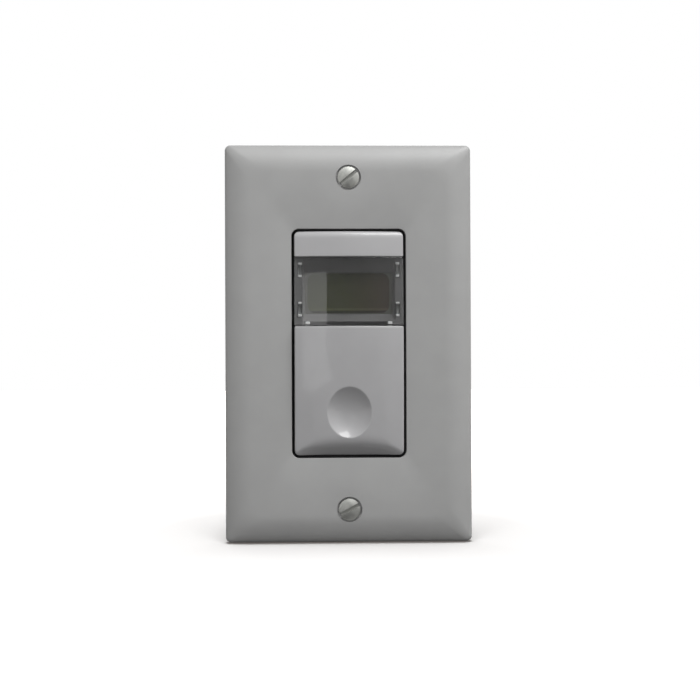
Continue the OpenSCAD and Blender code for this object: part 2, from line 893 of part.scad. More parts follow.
// A barrel about the y axis, with a belly of one radius and staves of another
module barrel(belly_r, stave_r, length) {
    rotate([90, 0, 0]) rotate_extrude($fn = crown_facets) intersection() {
        translate([belly_r - stave_r, 0]) circle(stave_r, $fn = crown_facets);
        translate([0, -length / 2]) square([belly_r + cut_over, length]);
    }
}

// Side of the whole device face, with a roll at each end
module face_section(z0) {
    translate([bottom_meet_y, z0]) square([top_meet_y - bottom_meet_y, face_z + cut_over - z0]);
    translate([0, z0]) square([face_h / 2 + arc_lift, top_roll_z - z0]);
    translate([bottom_roll_y, bottom_roll_z]) circle(bottom_roll_r);
    translate([top_roll_y, top_roll_z]) circle(top_roll_r);
}

// The part of the device face between two heights, down to level z0
module face_piece(y0, y1, z0) {
    intersection() {
        translate([0, 0, face_z - side_crown_r]) barrel(side_crown_r, face_crown_r, 2 * face_h);
        along_x(face_w + cut_over) face_section(z0);
        slab(z0, face_z + cut_over) rounded(face_w, face_h, face_r);
        span([-face_w, y0, z0], [face_w, y1, face_z + cut_over]);
    }
}

module front_chassis() {
    clamp_bore_r = housing_screw_r + run_fit;
    stand() color("DimGray") {
        difference() {
            union() {
                slab(-deck_t, flange_z1) rounded(ring_w, ring_h, ring_r);
                slab(strap_t, flange_z1) rounded(flange_w, flange_h, strap_corner_r);
                for (sx = [-1, 1], sy = [-1, 1])
                    rod_z(sx * clamp_x, sy * clamp_y, strap_t, clamp_boss_z, clamp_boss_r);
                for (sx = [-1, 1], fy = board_fix_ys)
                    rod_z(sx * board_fix_x, fy, board_z1, -sink, board_post_r);
            }
            slab(0, clamp_boss_z + cut_over) rounded(tray_w, tray_h, tray_r);
            deck_openings();
            for (sx = [-1, 1], sy = [-1, 1]) {
                rod_z(sx * clamp_x, sy * clamp_y, strap_t - cut_over, clamp_bore_z, clamp_bore_r);
            }
            for (sx = [-1, 1], fy = board_fix_ys) {
                rod_z(sx * board_fix_x, fy, board_z1 - cut_over, board_screw_z1, board_screw_r + run_fit);
            }
        }
        for (side = [-1, 1]) {
            hinge_bearing(side);
            rod_z(side * spring_x, spring_y, -sink, spring_peg_h, spring_peg_r);
        }
    }
}

// What the deck lets through
module deck_openings() {
    slab(-deck_t - cut_over, cut_over) {
        translate([0, lcd_y])
            square([lcd_w - 2 * lcd_deck_side, lcd_h - 2 * lcd_deck_end], center = true);
        translate([0, dimple_y]) square(main_hole_w, center = true);
        translate([0, option_y]) square([option_w + 2 * free_gap, option_h + 2 * free_gap], center = true);
        for (side = [-1, 1]) {
            translate([side * adjust_x, adjust_y]) square(adjust_hole_w, center = true);
            translate([side * hook_x, hook_y]) square([hook_slot_w, hook_slot_l], center = true);
            translate([side * hook_x, header_peg_y]) circle(header_peg_r + run_fit);
        }
    }
}

// Bearing lug on the deck for one hinge pin
module hinge_bearing(side) {
    x0 = side > 0 ? bearing_x0 : -bearing_x0 - bearing_t;
    half = bearing_r - bearing_foot_in;
    difference() {
        union() {
            rod_x(x0, x0 + bearing_t, hinge_y, hinge_z, bearing_r);
            span([x0, hinge_y - half, -sink], [x0 + bearing_t, hinge_y + half, hinge_z]);
        }
        rod_x(x0 - cut_over, x0 + bearing_t + cut_over, hinge_y, hinge_z, pin_r + run_fit);
    }
}

module header_cap() {
    inner_x = face_w / 2 - header_wall;
    inner_y0 = header_y0 + header_wall;
    inner_y1 = face_h / 2 - header_wall;
    stand() color("DarkGray") {
        difference() {
            face_piece(header_y0, face_h, 0);
            span([-inner_x, inner_y0, -cut_over], [inner_x, inner_y1, header_roof_z]);
        }
        for (side = [-1, 1])
            rod_z(side * hook_x, header_peg_y, -deck_t, header_roof_z + sink, header_peg_r);
    }
}

module display_window() {
    stand() color("SlateGray", 0.4) {
        face_piece(window_y0, window_y1, lens_back_z);
        for (side = [-1, 1], ly = leg_ys) {
            span(
                [side * leg_x - leg_t / 2, ly - leg_h / 2, leg_z0],
                [side * leg_x + leg_t / 2, ly + leg_h / 2, lens_back_z + sink]
            );
        }
    }
}

module lcd_frame() {
    centre_y = (frame_y0 + frame_y1) / 2;
    back_w = lcd_w + 2 * lcd_pocket_gap;
    back_h = lcd_h + 2 * lcd_pocket_gap;
    low_x = view_w / 2;
    high_x = low_x + funnel_side;
    slot_gap = 2 * run_fit;
    stand() color("DarkSlateGray") difference() {
        slab(0, frame_top_z) translate([0, centre_y]) square([frame_w, frame_y1 - frame_y0], center = true);
        intersection() {
            translate([0, lcd_y, 0]) along_y(2 * face_h) polygon([
                [-low_x, -cut_over], [low_x, -cut_over], [low_x, lcd_top_z], [high_x, frame_top_z],
                [high_x, frame_top_z + cut_over], [-high_x, frame_top_z + cut_over], [-high_x, frame_top_z],
                [-low_x, lcd_top_z]
            ]);
            along_x(2 * face_w) polygon([
                [lcd_y - view_h / 2, -cut_over], [lcd_y + view_h / 2, -cut_over],
                [lcd_y + view_h / 2, lcd_top_z + free_gap], [funnel_top_y, frame_top_z],
                [funnel_top_y, frame_top_z + cut_over], [funnel_bottom_y, frame_top_z + cut_over],
                [funnel_bottom_y, frame_top_z], [lcd_y - view_h / 2, lcd_top_z + free_gap]
            ]);
        }
        slab(-cut_over, glass_seat_z) translate([0, lcd_y]) square([back_w, back_h], center = true);
        for (side = [-1, 1], ly = leg_ys) {
            span(
                [side * leg_x - leg_t / 2 - slot_gap, ly - leg_h / 2 - slot_gap, leg_z0 - 2 * slot_gap],
                [side * leg_x + leg_t / 2 + slot_gap, ly + leg_h / 2 + slot_gap, frame_top_z + cut_over]
            );
        }
    }
}

module lcd_polariser() {
    stand() color("DarkOliveGreen") slab(glass_z1, lcd_front_z) translate([0, lcd_y])
        rounded(lcd_w - 2 * polariser_side, lcd_h - 2 * polariser_end, polariser_r);
}

module lcd_glass() {
    stand() color("LightCyan") slab(glass_z0, glass_z1) translate([0, lcd_y])
        square([lcd_w, lcd_h], center = true);
}

module lcd_backlight() {
    stand() color("MintCream") slab(board_z1, glass_z0 - light_top_gap) translate([0, lcd_y])
        square([light_w, light_h], center = true);
}

module zebra_strips() {
    stand() color("HotPink") for (side = [-1, 1]) {
        slab(board_z1, glass_z0) translate([0, lcd_y + side * zebra_y])
            square([zebra_l, zebra_w], center = true);
    }
}

// Barrel whose belly scoops the thumb dimple out of the button
module dimple_barrel() {
    translate([0, dimple_y, dimple_mid_z]) rotate([dimple_tilt, 0, 0])
        translate([0, 0, dimple_rx - dimple_depth]) barrel(dimple_rx, dimple_ry, 2 * dimple_h);
}

module on_off_button() {
    past_y = button_y1 + cut_over;
    roof_z = button_under_z + sink;
    hinge_roof_z = button_under_z - hinge_roof_drop;
    stand() color("DarkGray") {
        difference() {
            union() {
                difference() {
                    face_piece(-face_h, button_y1, skirt_z);
                    span([-pocket_x, pocket_y0, -cut_over], [pocket_x, past_y, button_under_z]);
                    span([-face_w, hinge_y - bearing_r, -cut_over], [face_w, past_y, hinge_roof_z]);
                }
                rod_z(0, dimple_y, pad_z, roof_z, pad_r);
            }
            dimple_barrel();
        }
        rod_z(0, dimple_y, pad_z - post_h, pad_z + sink, post_r);
        for (side = [-1, 1]) {
            hinge_arm(side);
            button_hook(side);
            rod_z(side * spring_x, spring_y, button_under_z - spring_peg_h, roof_z, spring_peg_r);
        }
    }
}

// Arm under the button with its hinge pin
module hinge_arm(side) {
    x0 = side > 0 ? arm_x1 - arm_t : -arm_x1;
    pin_from = side > 0 ? arm_x1 - sink : -pin_x1;
    pin_to = side > 0 ? pin_x1 : -arm_x1 + sink;
    arm_r = bearing_r - arm_in;
    half = arm_r - arm_in;
    rod_x(x0, x0 + arm_t, hinge_y, hinge_z, arm_r);
    span([x0, hinge_y - half, hinge_z], [x0 + arm_t, hinge_y + half, button_under_z + sink]);
    rod_x(pin_from, pin_to, hinge_y, hinge_z, pin_r);
}

// Hook that holds the button to the deck
module button_hook(side) {
    x0 = side * hook_x - hook_w / 2;
    y0 = hook_y - hook_l / 2;
    span([x0, y0, barb_z0], [x0 + hook_w, y0 + hook_l, button_under_z + sink]);
    span([x0, y0 - barb, barb_z0], [x0 + hook_w, y0 + sink, barb_z1]);
}

// Coil spring as one unbroken tube around z
module coil(radius, wire_r, turns, length) {
    steps = ceil(turns * spring_rings);
    points = [
        for (i = [0:steps], k = [0:spring_sides - 1])
            let (
                turn = 360 * i / spring_rings,
                around = 360 * k / spring_sides,
                reach = radius + wire_r * cos(around),
                height = wire_r + (length - 2 * wire_r) * i / steps + wire_r * sin(around)
            )
            [reach * cos(turn), reach * sin(turn), height]
    ];
    sides = [
        for (i = [0:steps - 1], k = [0:spring_sides - 1])
            let (next = (k + 1) % spring_sides)
            [
                i * spring_sides + k, i * spring_sides + next,
                (i + 1) * spring_sides + next, (i + 1) * spring_sides + k
            ]
    ];
    first = [for (k = [spring_sides - 1:-1:0]) k];
    last = [for (k = [0:spring_sides - 1]) steps * spring_sides + k];
    polyhedron(points, concat(sides, [first, last]), convexity = 4);
}

module button_springs() {
    stand() color("Gainsboro") for (side = [-1, 1]) translate([side * spring_x, spring_y, lay_gap / 2])
        coil(spring_r, spring_wire_r, spring_turns, button_under_z - lay_gap);
}

module control_board() {
    stand() color("SeaGreen") slab(board_z0, board_z1) difference() {
        translate([-board_w / 2, board_y0]) square([board_w, board_y1 - board_y0]);
        for (sx = [-1, 1], fy = board_fix_ys) translate([sx * board_fix_x, fy])
            circle(board_screw_r + lay_gap);
        link_holes();
    }
}

// Holes that the link pins pass through
module link_holes() {
    for (i = [-2:2]) translate([i * link_pitch, link_y]) circle(link_pin_r + run_fit);
}

module board_screws() {
    head_z0 = board_z0 - board_head_h;
    stand() color("Silver") for (sx = [-1, 1], fy = board_fix_ys) difference() {
        union() {
            rod_z(sx * board_fix_x, fy, board_z0 - sink, board_screw_z1 - screw_end_gap, board_screw_r);
            rod_z(sx * board_fix_x, fy, head_z0, board_z0, board_head_r);
        }
        translate([sx * board_fix_x, fy, head_z0])
            cube([2 * board_head_r + cut_over, fine_slot_w, 2 * fine_slot_depth], center = true);
    }
}

module on_off_switch() {
    stand() color("DimGray") difference() {
        slab(board_z1, switch_z1) translate([0, dimple_y]) square(main_switch_w, center = true);
        rod_z(0, dimple_y, main_bore_z0, switch_z1 + cut_over, main_plunger_r + run_fit);
    }
}

module switch_plunger() {
    stand() color("Ivory") rod_z(0, dimple_y, main_plunger_z0, plunger_top_z, main_plunger_r);
}

module adjust_switches() {
    stand() color("DimGray") for (side = [-1, 1]) difference() {
        slab(board_z1, adjust_z1) translate([side * adjust_x, adjust_y])
            square(adjust_switch_w, center = true);
        rod_z(side * adjust_x, adjust_y, adjust_bore_z0, adjust_z1 + cut_over, adjust_plunger_r + run_fit);
    }
}

module adjust_plunger(side) {
    stand() color("Ivory")
        rod_z(side * adjust_x, adjust_y, adjust_plunger_z0, adjust_top_z, adjust_plunger_r);
}

// Middle of one option slider's slot
function option_x(i) = (i - (option_count - 1) / 2) * option_pitch;

module option_switch() {
    slot_l = option_knob_h + option_travel + 2 * lay_gap;
    stand() color("Firebrick") difference() {
        slab(board_z1, option_z1) translate([0, option_y]) square([option_w, option_h], center = true);
        for (i = [0:option_count - 1])
            slab(option_z1 - option_slot_d, option_z1 + cut_over) translate([option_x(i), option_y])
                square([option_knob_w + 2 * lay_gap, slot_l], center = true);
    }
}

module option_slider(i) {
    low_y = option_y - option_travel / 2;
    low_z = option_z1 - option_slot_d + run_fit;
    stand() color("WhiteSmoke") slab(low_z, option_knob_z1) translate([option_x(i), low_y])
        square([option_knob_w, option_knob_h], center = true);
}

module microcontroller() {
    lead_z0 = board_z0 - chip_lead_t;
    stand() color("Black") {
        slab(board_z0 - chip_t, board_z0) translate([0, chip_y]) square([chip_w, chip_h], center = true);
        for (side = [-1, 1], i = [0:chip_leads - 1]) {
            ly = chip_y + (i - (chip_leads - 1) / 2) * chip_lead_pitch;
            x0 = side > 0 ? chip_w / 2 - sink : -chip_w / 2 - chip_lead_l;
            x1 = x0 + chip_lead_l + sink;
            span([x0, ly - chip_lead_w / 2, lead_z0], [x1, ly + chip_lead_w / 2, board_z0]);
        }
    }
}

module buzzer() {
    back_z = board_z0 - buzzer_h;
    stand() color("Black") difference() {
        rod_z(0, buzzer_y, back_z, board_z0, buzzer_r);
        rod_z(0, buzzer_y, back_z - cut_over, back_z + buzzer_hole_d, buzzer_hole_r);
    }
}

module link_headers() {
    stand() color("Black") {
        slab(board_z0 - link_block_h, board_z0) link_block();
        slab(power_z1, power_z1 + link_block_h) link_block();
    }
}

// Plan of one plastic block of the link between the boards
module link_block() {
    difference() {
        translate([0, link_y]) square([link_block_w, link_block_h], center = true);
        link_holes();
    }
}

module link_pins() {
    stand() color("Gold") for (i = [-2:2]) {
        rod_z(i * link_pitch, link_y, power_z0 - link_over, board_z1 + link_over, link_pin_r);
    }
}

// Side view of the housing block: half a width, with its back edges bevelled
module bevelled_section(half) {
    polygon([
        [-half, 0], [half, 0], [half, -housing_d + housing_bevel], [half - housing_bevel, -housing_d],
        [-half + housing_bevel, -housing_d], [-half, -housing_d + housing_bevel]
    ]);
}

// Outside of the rear housing
module housing_form() {
    intersection() {
        slab(-housing_d, 0) rounded(housing_w, housing_h, housing_r);
        along_y(housing_h + cut_over) bevelled_section(housing_w / 2);
        along_x(housing_w + cut_over) bevelled_section(housing_h / 2);
    }
}

// Solid around one terminal well, inside the housing
module well_block(side) {
    span(
        [well_floor_x - well_skin, side * well_y - well_w / 2 - well_skin, -housing_d],
        [housing_w / 2 - sink, side * well_y + well_w / 2 + well_skin, well_z1 + well_skin]
    );
}

// What is cut away for one terminal
module well_cut(side) {
    x0 = well_floor_x - well_skin - cut_over;
    x1 = well_floor_x + cut_over;
    tail_half = tail_w / 2 + lay_gap;
    span(
        [well_floor_x, side * well_y - well_w / 2, -housing_d - cut_over],
        [housing_w / 2 + cut_over, side * well_y + well_w / 2, well_z1]
    );
    span(
        [x0, side * well_y - tail_half, power_z1 - lay_gap],
        [x1, side * well_y + tail_half, power_z1 + terminal_t + lay_gap]
    );
    rod_x(x0, x1, side * well_y, terminal_screw_z, terminal_screw_r + free_gap);
}

module rear_housing() {
    stand() color("DimGray") difference() {
        union() {
            difference() {
                housing_form();
                slab(-housing_d + back_wall, cut_over) rounded(inner_w, inner_h, inner_r);
            }
            for (sx = [-1, 1], sy = [-1, 1])
                rod_z(sx * clamp_x, sy * clamp_y, -housing_d + sink, 0, column_r);
            intersection() {
                housing_form();
                for (side = [-1, 1]) well_block(side);
            }
            for (p = power_fixes) rod_z(p[0], p[1], -housing_d + sink, power_z0, power_post_r);
        }
        for (side = [-1, 1]) well_cut(side);
        slab(-deck_t - free_gap, cut_over) rounded(ring_w + 2 * free_gap, ring_h + 2 * lay_gap, ring_r);
        for (sx = [-1, 1], sy = [-1, 1]) {
            rod_z(sx * clamp_x, sy * clamp_y, -housing_d - cut_over, cut_over, housing_screw_r + lay_gap);
            rod_z(sx * clamp_x, sy * clamp_y, -housing_d - cut_over, -housing_d + head_sink_d, head_sink_r);
        }
        for (p = power_fixes)
            rod_z(p[0], p[1], -housing_d + back_wall / 2, power_z1, board_screw_r + run_fit);
        slab(-housing_d - cut_over, -housing_d + label_d) {
            translate([label_x, label_y]) rounded(label_w, label_h, label_r);
            translate([label_x, gauge_y]) rounded(gauge_l, gauge_w, gauge_r);
        }
    }
}

module housing_screws() {
    head_z1 = -housing_d + head_sink_d;
    head_z0 = head_z1 - housing_head_h;
    stand() color("Silver") for (sx = [-1, 1], sy = [-1, 1])
        translate([sx * clamp_x, sy * clamp_y, 0]) difference() {
            union() {
                rod_z(0, 0, head_z1 - sink, clamp_bore_z - screw_end_gap, housing_screw_r);
                rod_z(0, 0, head_z0, head_z1, housing_head_r);
            }
            for (turn = [0, 90]) translate([0, 0, head_z0]) rotate([0, 0, turn])
                cube([cross_l, cross_w, 2 * cross_depth], center = true);
        }
}

module power_board() {
    stand() color("SeaGreen") slab(power_z0, power_z1) difference() {
        translate([power_x0, -power_h / 2]) square([power_x1 - power_x0, power_h]);
        for (p = power_fixes) translate(p) circle(board_screw_r + lay_gap);
        link_holes();
    }
}

module power_board_screws() {
    tip_z = -housing_d + back_wall / 2 + screw_end_gap;
    head_z1 = power_z1 + board_head_h;
    stand() color("Silver") for (p = power_fixes) difference() {
        union() {
            rod_z(p[0], p[1], tip_z, power_z1 + sink, board_screw_r);
            rod_z(p[0], p[1], power_z1, head_z1, board_head_r);
        }
        translate([p[0], p[1], head_z1])
            cube([2 * board_head_r + cut_over, fine_slot_w, 2 * fine_slot_depth], center = true);
    }
}

module terminal_plates() {
    x0 = well_floor_x + lay_gap / 2;
    x1 = x0 + terminal_t;
    hole_r = terminal_screw_r + run_fit;
    stand() color("Gold") for (side = [-1, 1]) difference() {
        union() {
            span(
                [x0, side * well_y - terminal_w / 2, power_z1],
                [x1, side * well_y + terminal_w / 2, terminal_z1]
            );
            span(
                [tail_x0, side * well_y - tail_w / 2, power_z1],
                [x1, side * well_y + tail_w / 2, power_z1 + terminal_t]
            );
        }
        rod_x(x0 - cut_over, x1 + cut_over, side * well_y, terminal_screw_z, hole_r);
    }
}

module terminal_screws() {
    head_x1 = terminal_head_x + terminal_head_h;
    neck_x = terminal_head_x + sink;
    stand() color("Gold") for (side = [-1, 1]) difference() {
        union() {
            rod_x(terminal_tip_x, neck_x, side * well_y, terminal_screw_z, terminal_screw_r);
            rod_x(terminal_head_x, head_x1, side * well_y, terminal_screw_z, terminal_head_r);
        }
        translate([head_x1, side * well_y, terminal_screw_z])
            cube([2 * slot_depth, 2 * terminal_head_r + cut_over, slot_w], center = true);
    }
}

// Moves relay pieces from the relay's own middle to its place on the board
module at_relay() {
    translate([relay_x, relay_y, 0]) children();
}

module relay_base() {
    stand() color("DarkSlateBlue") at_relay() slab(power_z1, relay_z1)
        square([relay_w, relay_l], center = true);
}

module relay_cover() {
    stand() color("MidnightBlue") at_relay() difference() {
        slab(relay_z1, power_z1 + relay_h) square([relay_w, relay_l], center = true);
        slab(relay_z1 - cut_over, power_z1 + relay_h - relay_skin)
            square([relay_w - 2 * relay_skin, relay_l - 2 * relay_skin], center = true);
    }
}

module relay_coil() {
    stand() color("Chocolate") at_relay() difference() {
        rod_z(0, core_y, coil_z0, coil_z1, coil_r);
        rod_z(0, core_y, coil_z0 - cut_over, coil_z1 + cut_over, core_r + lay_gap);
    }
}

module relay_yoke() {
    pole_z = yoke_leg_z + arm_lift - pole_gap;
    stand() color("Silver") at_relay() difference() {
        union() {
            span([-yoke_w / 2, core_y - coil_r, relay_z1], [yoke_w / 2, yoke_y1, coil_z0]);
            span([-yoke_w / 2, yoke_y1 - yoke_t, relay_z1], [yoke_w / 2, yoke_y1, yoke_leg_z]);
            rod_z(0, core_y, coil_z0 - sink, pole_z, core_r);
        }
        rod_x(-yoke_w, yoke_w, yoke_y1 - yoke_t / 2, yoke_leg_z, knuckle_r + run_fit);
    }
}

module relay_armature() {
    pivot_y = yoke_y1 - yoke_t / 2;
    arm_z0 = yoke_leg_z + arm_lift;
    half = armature_w / 2;
    blade_y1 = blade_y + blade_t;
    stand() color("LightGray") at_relay() {
        rod_x(-half, half, pivot_y, yoke_leg_z, knuckle_r);
        span([-half, core_y + pivot_y - arm_reach, arm_z0], [half, blade_y1, arm_z0 + arm_plate_t]);
        span([-half, blade_y, blade_z0], [half, blade_y1, arm_z0 + sink]);
        rod_y(0, blade_y1 - sink, blade_y1 + contact_t, contact_z, contact_r);
    }
}

module relay_contact() {
    stand() color("Peru") at_relay() {
        span([-armature_w / 2, fixed_y, relay_z1], [armature_w / 2, fixed_y + blade_t, fixed_z1]);
        rod_y(0, fixed_y - contact_t, fixed_y + sink, contact_z, contact_r);
    }
}

module film_capacitor() {
    stand() color("Goldenrod") slab(power_z1, power_z1 + film_h) translate([parts_x, film_y])
        square([film_w, film_l], center = true);
}

module electrolytic_capacitor() {
    stand() color("Navy") rod_z(parts_x, electro_y, power_z1, power_z1 + electro_h, electro_r);
}

module varistor() {
    disc_z = power_z1 + varistor_lift + varistor_r;
    stand() color("SteelBlue") {
        rod_y(parts_x, varistor_y - varistor_t / 2, varistor_y + varistor_t / 2, disc_z, varistor_r);
        for (side = [-1, 1])
            rod_z(parts_x + side * varistor_leg_x, varistor_y, power_z1, disc_z, varistor_leg_r);
    }
}

module supply_fuse() {
    body_z = power_z1 + fuse_lift + fuse_r;
    stand() color("Khaki") {
        rod_x(parts_x - fuse_l / 2, parts_x + fuse_l / 2, fuse_y, body_z, fuse_r);
        for (side = [-1, 1])
            rod_z(parts_x + side * (fuse_l / 2 - fuse_r), fuse_y, power_z1, body_z, fuse_lead_r);
    }
}
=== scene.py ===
import json
import math

import bmesh
import bpy
from mathutils import Matrix, Vector


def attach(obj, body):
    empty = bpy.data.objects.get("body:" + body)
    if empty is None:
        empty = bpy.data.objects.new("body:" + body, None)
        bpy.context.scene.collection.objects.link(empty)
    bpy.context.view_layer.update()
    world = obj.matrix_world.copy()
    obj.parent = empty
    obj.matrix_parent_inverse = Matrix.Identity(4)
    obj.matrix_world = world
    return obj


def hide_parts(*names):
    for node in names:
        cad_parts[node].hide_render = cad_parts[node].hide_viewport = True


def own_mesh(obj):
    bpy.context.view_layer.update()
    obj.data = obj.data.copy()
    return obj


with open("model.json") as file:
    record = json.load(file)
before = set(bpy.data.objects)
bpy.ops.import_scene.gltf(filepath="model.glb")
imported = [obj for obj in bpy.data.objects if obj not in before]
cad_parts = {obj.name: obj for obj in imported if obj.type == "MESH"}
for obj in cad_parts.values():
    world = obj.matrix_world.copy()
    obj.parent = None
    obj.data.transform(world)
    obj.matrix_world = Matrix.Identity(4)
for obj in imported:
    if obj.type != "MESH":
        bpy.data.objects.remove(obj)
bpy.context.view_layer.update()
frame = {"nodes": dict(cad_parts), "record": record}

MM = 0.001
STAND = Matrix(((MM, 0, 0, 0), (0, 0, -MM, 0), (0, MM, 0, 0), (0, 0, 0, 1)))

# Shared: how far joined solids overlap and cutters run past a surface, the chamfer of turned ends,
# the corners of pockets, and the distance within which points are welded
OVERLAP, CUT_OVER, CHAMFER, POCKET_CORNER, WELD = 0.4, 1.0, 0.2, 0.3, 1e-5

# Wall plate
PLATE_W, PLATE_H, PLATE_CORNER = 72.0, 116.0, 1.6
PLATE_Z, PLATE_WALL = 6.0, 2.2
ROLL_W, ROLL_R, INNER_ROLL_R = 8.0, 13.2, 11.0
ROLL_STEPS, INNER_ROLL_STEPS = 24, 12
PLATE_EDGE_SOFT, FLAT_RIM = 0.4, 0.4
EDGE_TURN = ((0.0, -0.4), (0.07, -0.16), (0.22, 0.1))
INNER_CORNER, BACK_CORNER, CORNER_OPENS = 1.0, 1.2, 0.35
OPENING_W, OPENING_H, OPENING_CORNER = 33.4, 66.8, 2.2
OPENING_SOFT, OPENING_TURNS = 0.2, (90, 60, 30, 0)
PLATE_SCREW_Y = 48.42
BOSS_R, BOSS_Z, BOSS_TOP_Z = 2.9, 1.6, 4.5

# Plate screws
HEAD_R, HEAD_RIM_Z, HEAD_DOME, HEAD_CONE = 3.2, 5.75, 0.55, 1.9
HEAD_EDGE, NECK_L = 0.06, 0.8
SINK_R, SINK_Z, SEAT_R, SEAT_END_Z, HOLE_R = 3.7, 5.0, 2.9, 3.95, 1.9
SHANK_R, SHANK_END_Z, THREAD_PITCH, THREAD_DEPTH = 1.7, -7.25, 0.79, 0.25
THREAD_TOOTH = ((0.0, 0.0), (0.0, 0.2), (1.0, 0.5), (1.0, 0.6), (0.0, 0.9), (0.0, 1.0))
THREAD_STEPS, THREAD_LEAD, THREAD_SPARE, THREAD_WELD = 28, 2, 3, 1e-4
SLOT_W, SLOT_FLOOR_Z = 1.0, 5.25
SLOT_TURNS = {1: 40.0, -1: 28.0}

# Box screws
BOX_SCREW_Y, BOX_SHANK_R, BOX_SHANK_END_Z = 41.67, 1.75, -22.0
BOX_NECK_R, BOX_NECK_Z = 1.3, -0.45
BOX_HEAD_R, BOX_HEAD_Z0, BOX_HEAD_Z1, BOX_HEAD_DOME = 3.4, 1.3, 3.5, 1.0
BOX_HEAD_SOFT, BOX_SLOT_FLOOR_Z = 0.1, 2.4

# Device face
FACE_W, FACE_H, FACE_CORNER = 31.8, 65.2, 1.4
FACE_Z, CROWN_R, SIDE_CROWN_R = 9.0, 400.0, 80.0
BOTTOM_ROLL = {"r": 5.5, "y": -26.135, "z": 2.633, "meet": -26.5, "fade": 1.1e-3}
TOP_ROLL = {"r": 3.5, "y": 30.125, "z": 4.384, "meet": 30.391, "fade": 0.0}
ROLL_BLEND, TOP_BLEND, ROLL_STEEPEST = 1.5, 0.5, math.radians(50)
FACE_SOFT = 0.3
SEAM_CORNER = 0.4
RIM_WAYS = (0.985, 1.0)
HEART_SHARES = (0.985, 0.96, 0.92, 0.87, 0.8, 0.72, 0.63, 0.54, 0.45, 0.36, 0.27, 0.18, 0.09, 0.02)

# Header cap
HEADER_Y0, HEADER_WALL, HEADER_ROOF_Z = 25.2, 1.6, 4.4
HEADER_PEG = {"x": 9.0, "y": 28.9, "r": 1.2, "z": -1.6}
HEADER_HEART = (9.0, 1.6)

# Display window and the frame behind it
WINDOW_Y0, WINDOW_Y1, LENS_BACK_Z, LENS_SOFT = 5.1, 25.05, 5.4, 0.12
LEG_X, LEG_YS, LEG_T, LEG_H, LEG_Z = 14.1, (21.4, 9.9), 1.2, 3.6, 0.8
LEG_SOFT, WINDOW_HEART = 0.15, (6.0, 4.0)
FRAME_W, FRAME_Y0, FRAME_Y1, FRAME_TOP_Z = 31.2, 5.5, 24.75, 5.2
FUNNEL_X, FUNNEL_Y0, FUNNEL_Y1 = 13.25, 6.5, 24.15
LCD_Y, VIEW_W, VIEW_H, VIEW_Z = 14.6, 24.9, 12.1, 3.0
LCD_W, LCD_H, GLASS_SEAT_Z = 26.6, 14.2, 2.8
FILM_W, FILM_H = 23.7, 11.9
FILM_OLIVE, FILM_BROWN, FILM_TURN = (0.102, 0.110, 0.050), (0.110, 0.086, 0.054), (0.45, 0.95)
# Film levels up its height: a painted shadow line along its bottom edge, a lighter bare glass margin above
# it, and painted shade darkening towards its top under the frame's top wall
FILM_MARGIN_AND_SHADE = ((0.065, 0.5), (0.085, 1.6), (0.115, 1.6), (0.14, 1.0), (0.65, 1.0), (0.95, 0.78), (0.99, 0.45))
LEG_SLOT_GAP, FUNNEL_SOFT = 0.1, 0.2
DRAIN_X, DRAIN_Y1, DRAIN_Z = 10.95, 6.3, 2.0
TIP_W, TIP_L, TIP_Z, TIP_SOFT, TIP_SUNK, CORE_Z = 1.1, 0.7, 4.2, 0.2, 0.1, 2.4
FOOT_X, FOOT_Y, FOOT_W, FOOT_L = 11.9, 5.95, 1.3, 0.8

# On-off button
BUTTON_Y1, BUTTON_UNDER_Z, SKIRT_Z = 4.95, 5.6, 2.1
POCKET_X, POCKET_Y0, POCKET_Y1 = 14.1, -29.8, 4.2
DIMPLE_Y, DIMPLE_W, DIMPLE_H, DIMPLE_DEPTH = -20.0, 13.1, 14.9, 2.3
SCOOP_Y, SCOOP_LEAN, DIMPLE_BLEND = -19.45, math.radians(3.5), 0.12
HINGE_Y, HINGE_Z, PIN_R, ARM_R = 1.95, 2.4, 1.1, 1.8
HINGE_CUT_Y, HINGE_ROOF_Z = -0.05, 5.0
ARM_X0, ARM_X1, PIN_X1 = 9.3, 11.1, 13.4
STEM_INSET, STEM_GAP = 0.2, 0.05
PAD_R, PAD_Z, PAD_LAP, PAD_CHAMFER, POST_R, POST_Z = 7.2, 4.2, 0.06, 0.3, 1.6, 3.7
HOOK_X, HOOK_Y, HOOK_W, HOOK_L = 9.0, -27.3, 2.4, 1.6
BARB, BARB_Z0, BARB_Z1, BARB_INSET, HOOK_SOFT = 0.8, -2.6, -1.75, 0.02, 0.1
SPRING_X, SPRING_R, SPRING_WIRE_R, SPRING_TURNS, PEG_R, PEG_H = 10.4, 2.0, 0.25, 4, 1.35, 1.2
SPRING_Z0, SPRING_Z1, SPRING_STEPS, WIRE_SIDES = 0.05, 5.55, 32, 10


# Mesh tools

def unit(degrees):
    return Vector((math.cos(math.radians(degrees)), math.sin(math.radians(degrees))))


def rounded_ring(half_w, low_y, high_y, low_r, high_r, across=24, along=24, turn=6):
    """Points of a rectangle with round corners, anticlockwise from its lower right corner."""
    corners = (
        (half_w - low_r, low_y + low_r, low_r, -90, along),
        (half_w - high_r, high_y - high_r, high_r, 0, across),
        (high_r - half_w, high_y - high_r, high_r, 90, along),
        (low_r - half_w, low_y + low_r, low_r, 180, across),
    )
    arcs = [
        [Vector((x, y)) + r * unit(start + 90 * i / turn) for i in range(turn + 1)]
        for x, y, r, start, _ in corners
    ]
    points = []
    for k, arc in enumerate(arcs):
        side, onward = corners[k][4], arcs[(k + 1) % len(arcs)][0]
        points += arc + [arc[-1].lerp(onward, i / side) for i in range(1, side)]
    return points


def at(points, level):
    """Flat points set at one level, or on a surface given as level(x, y)."""
    return [(p.x, p.y, level(p.x, p.y) if callable(level) else level) for p in points]


def first_ring(bm, points):
    ring = bmesh.ops.create_circle(bm, segments=len(points), radius=1.0)["verts"]
    for vert, point in zip(ring, points):
        vert.co = point
    return ring


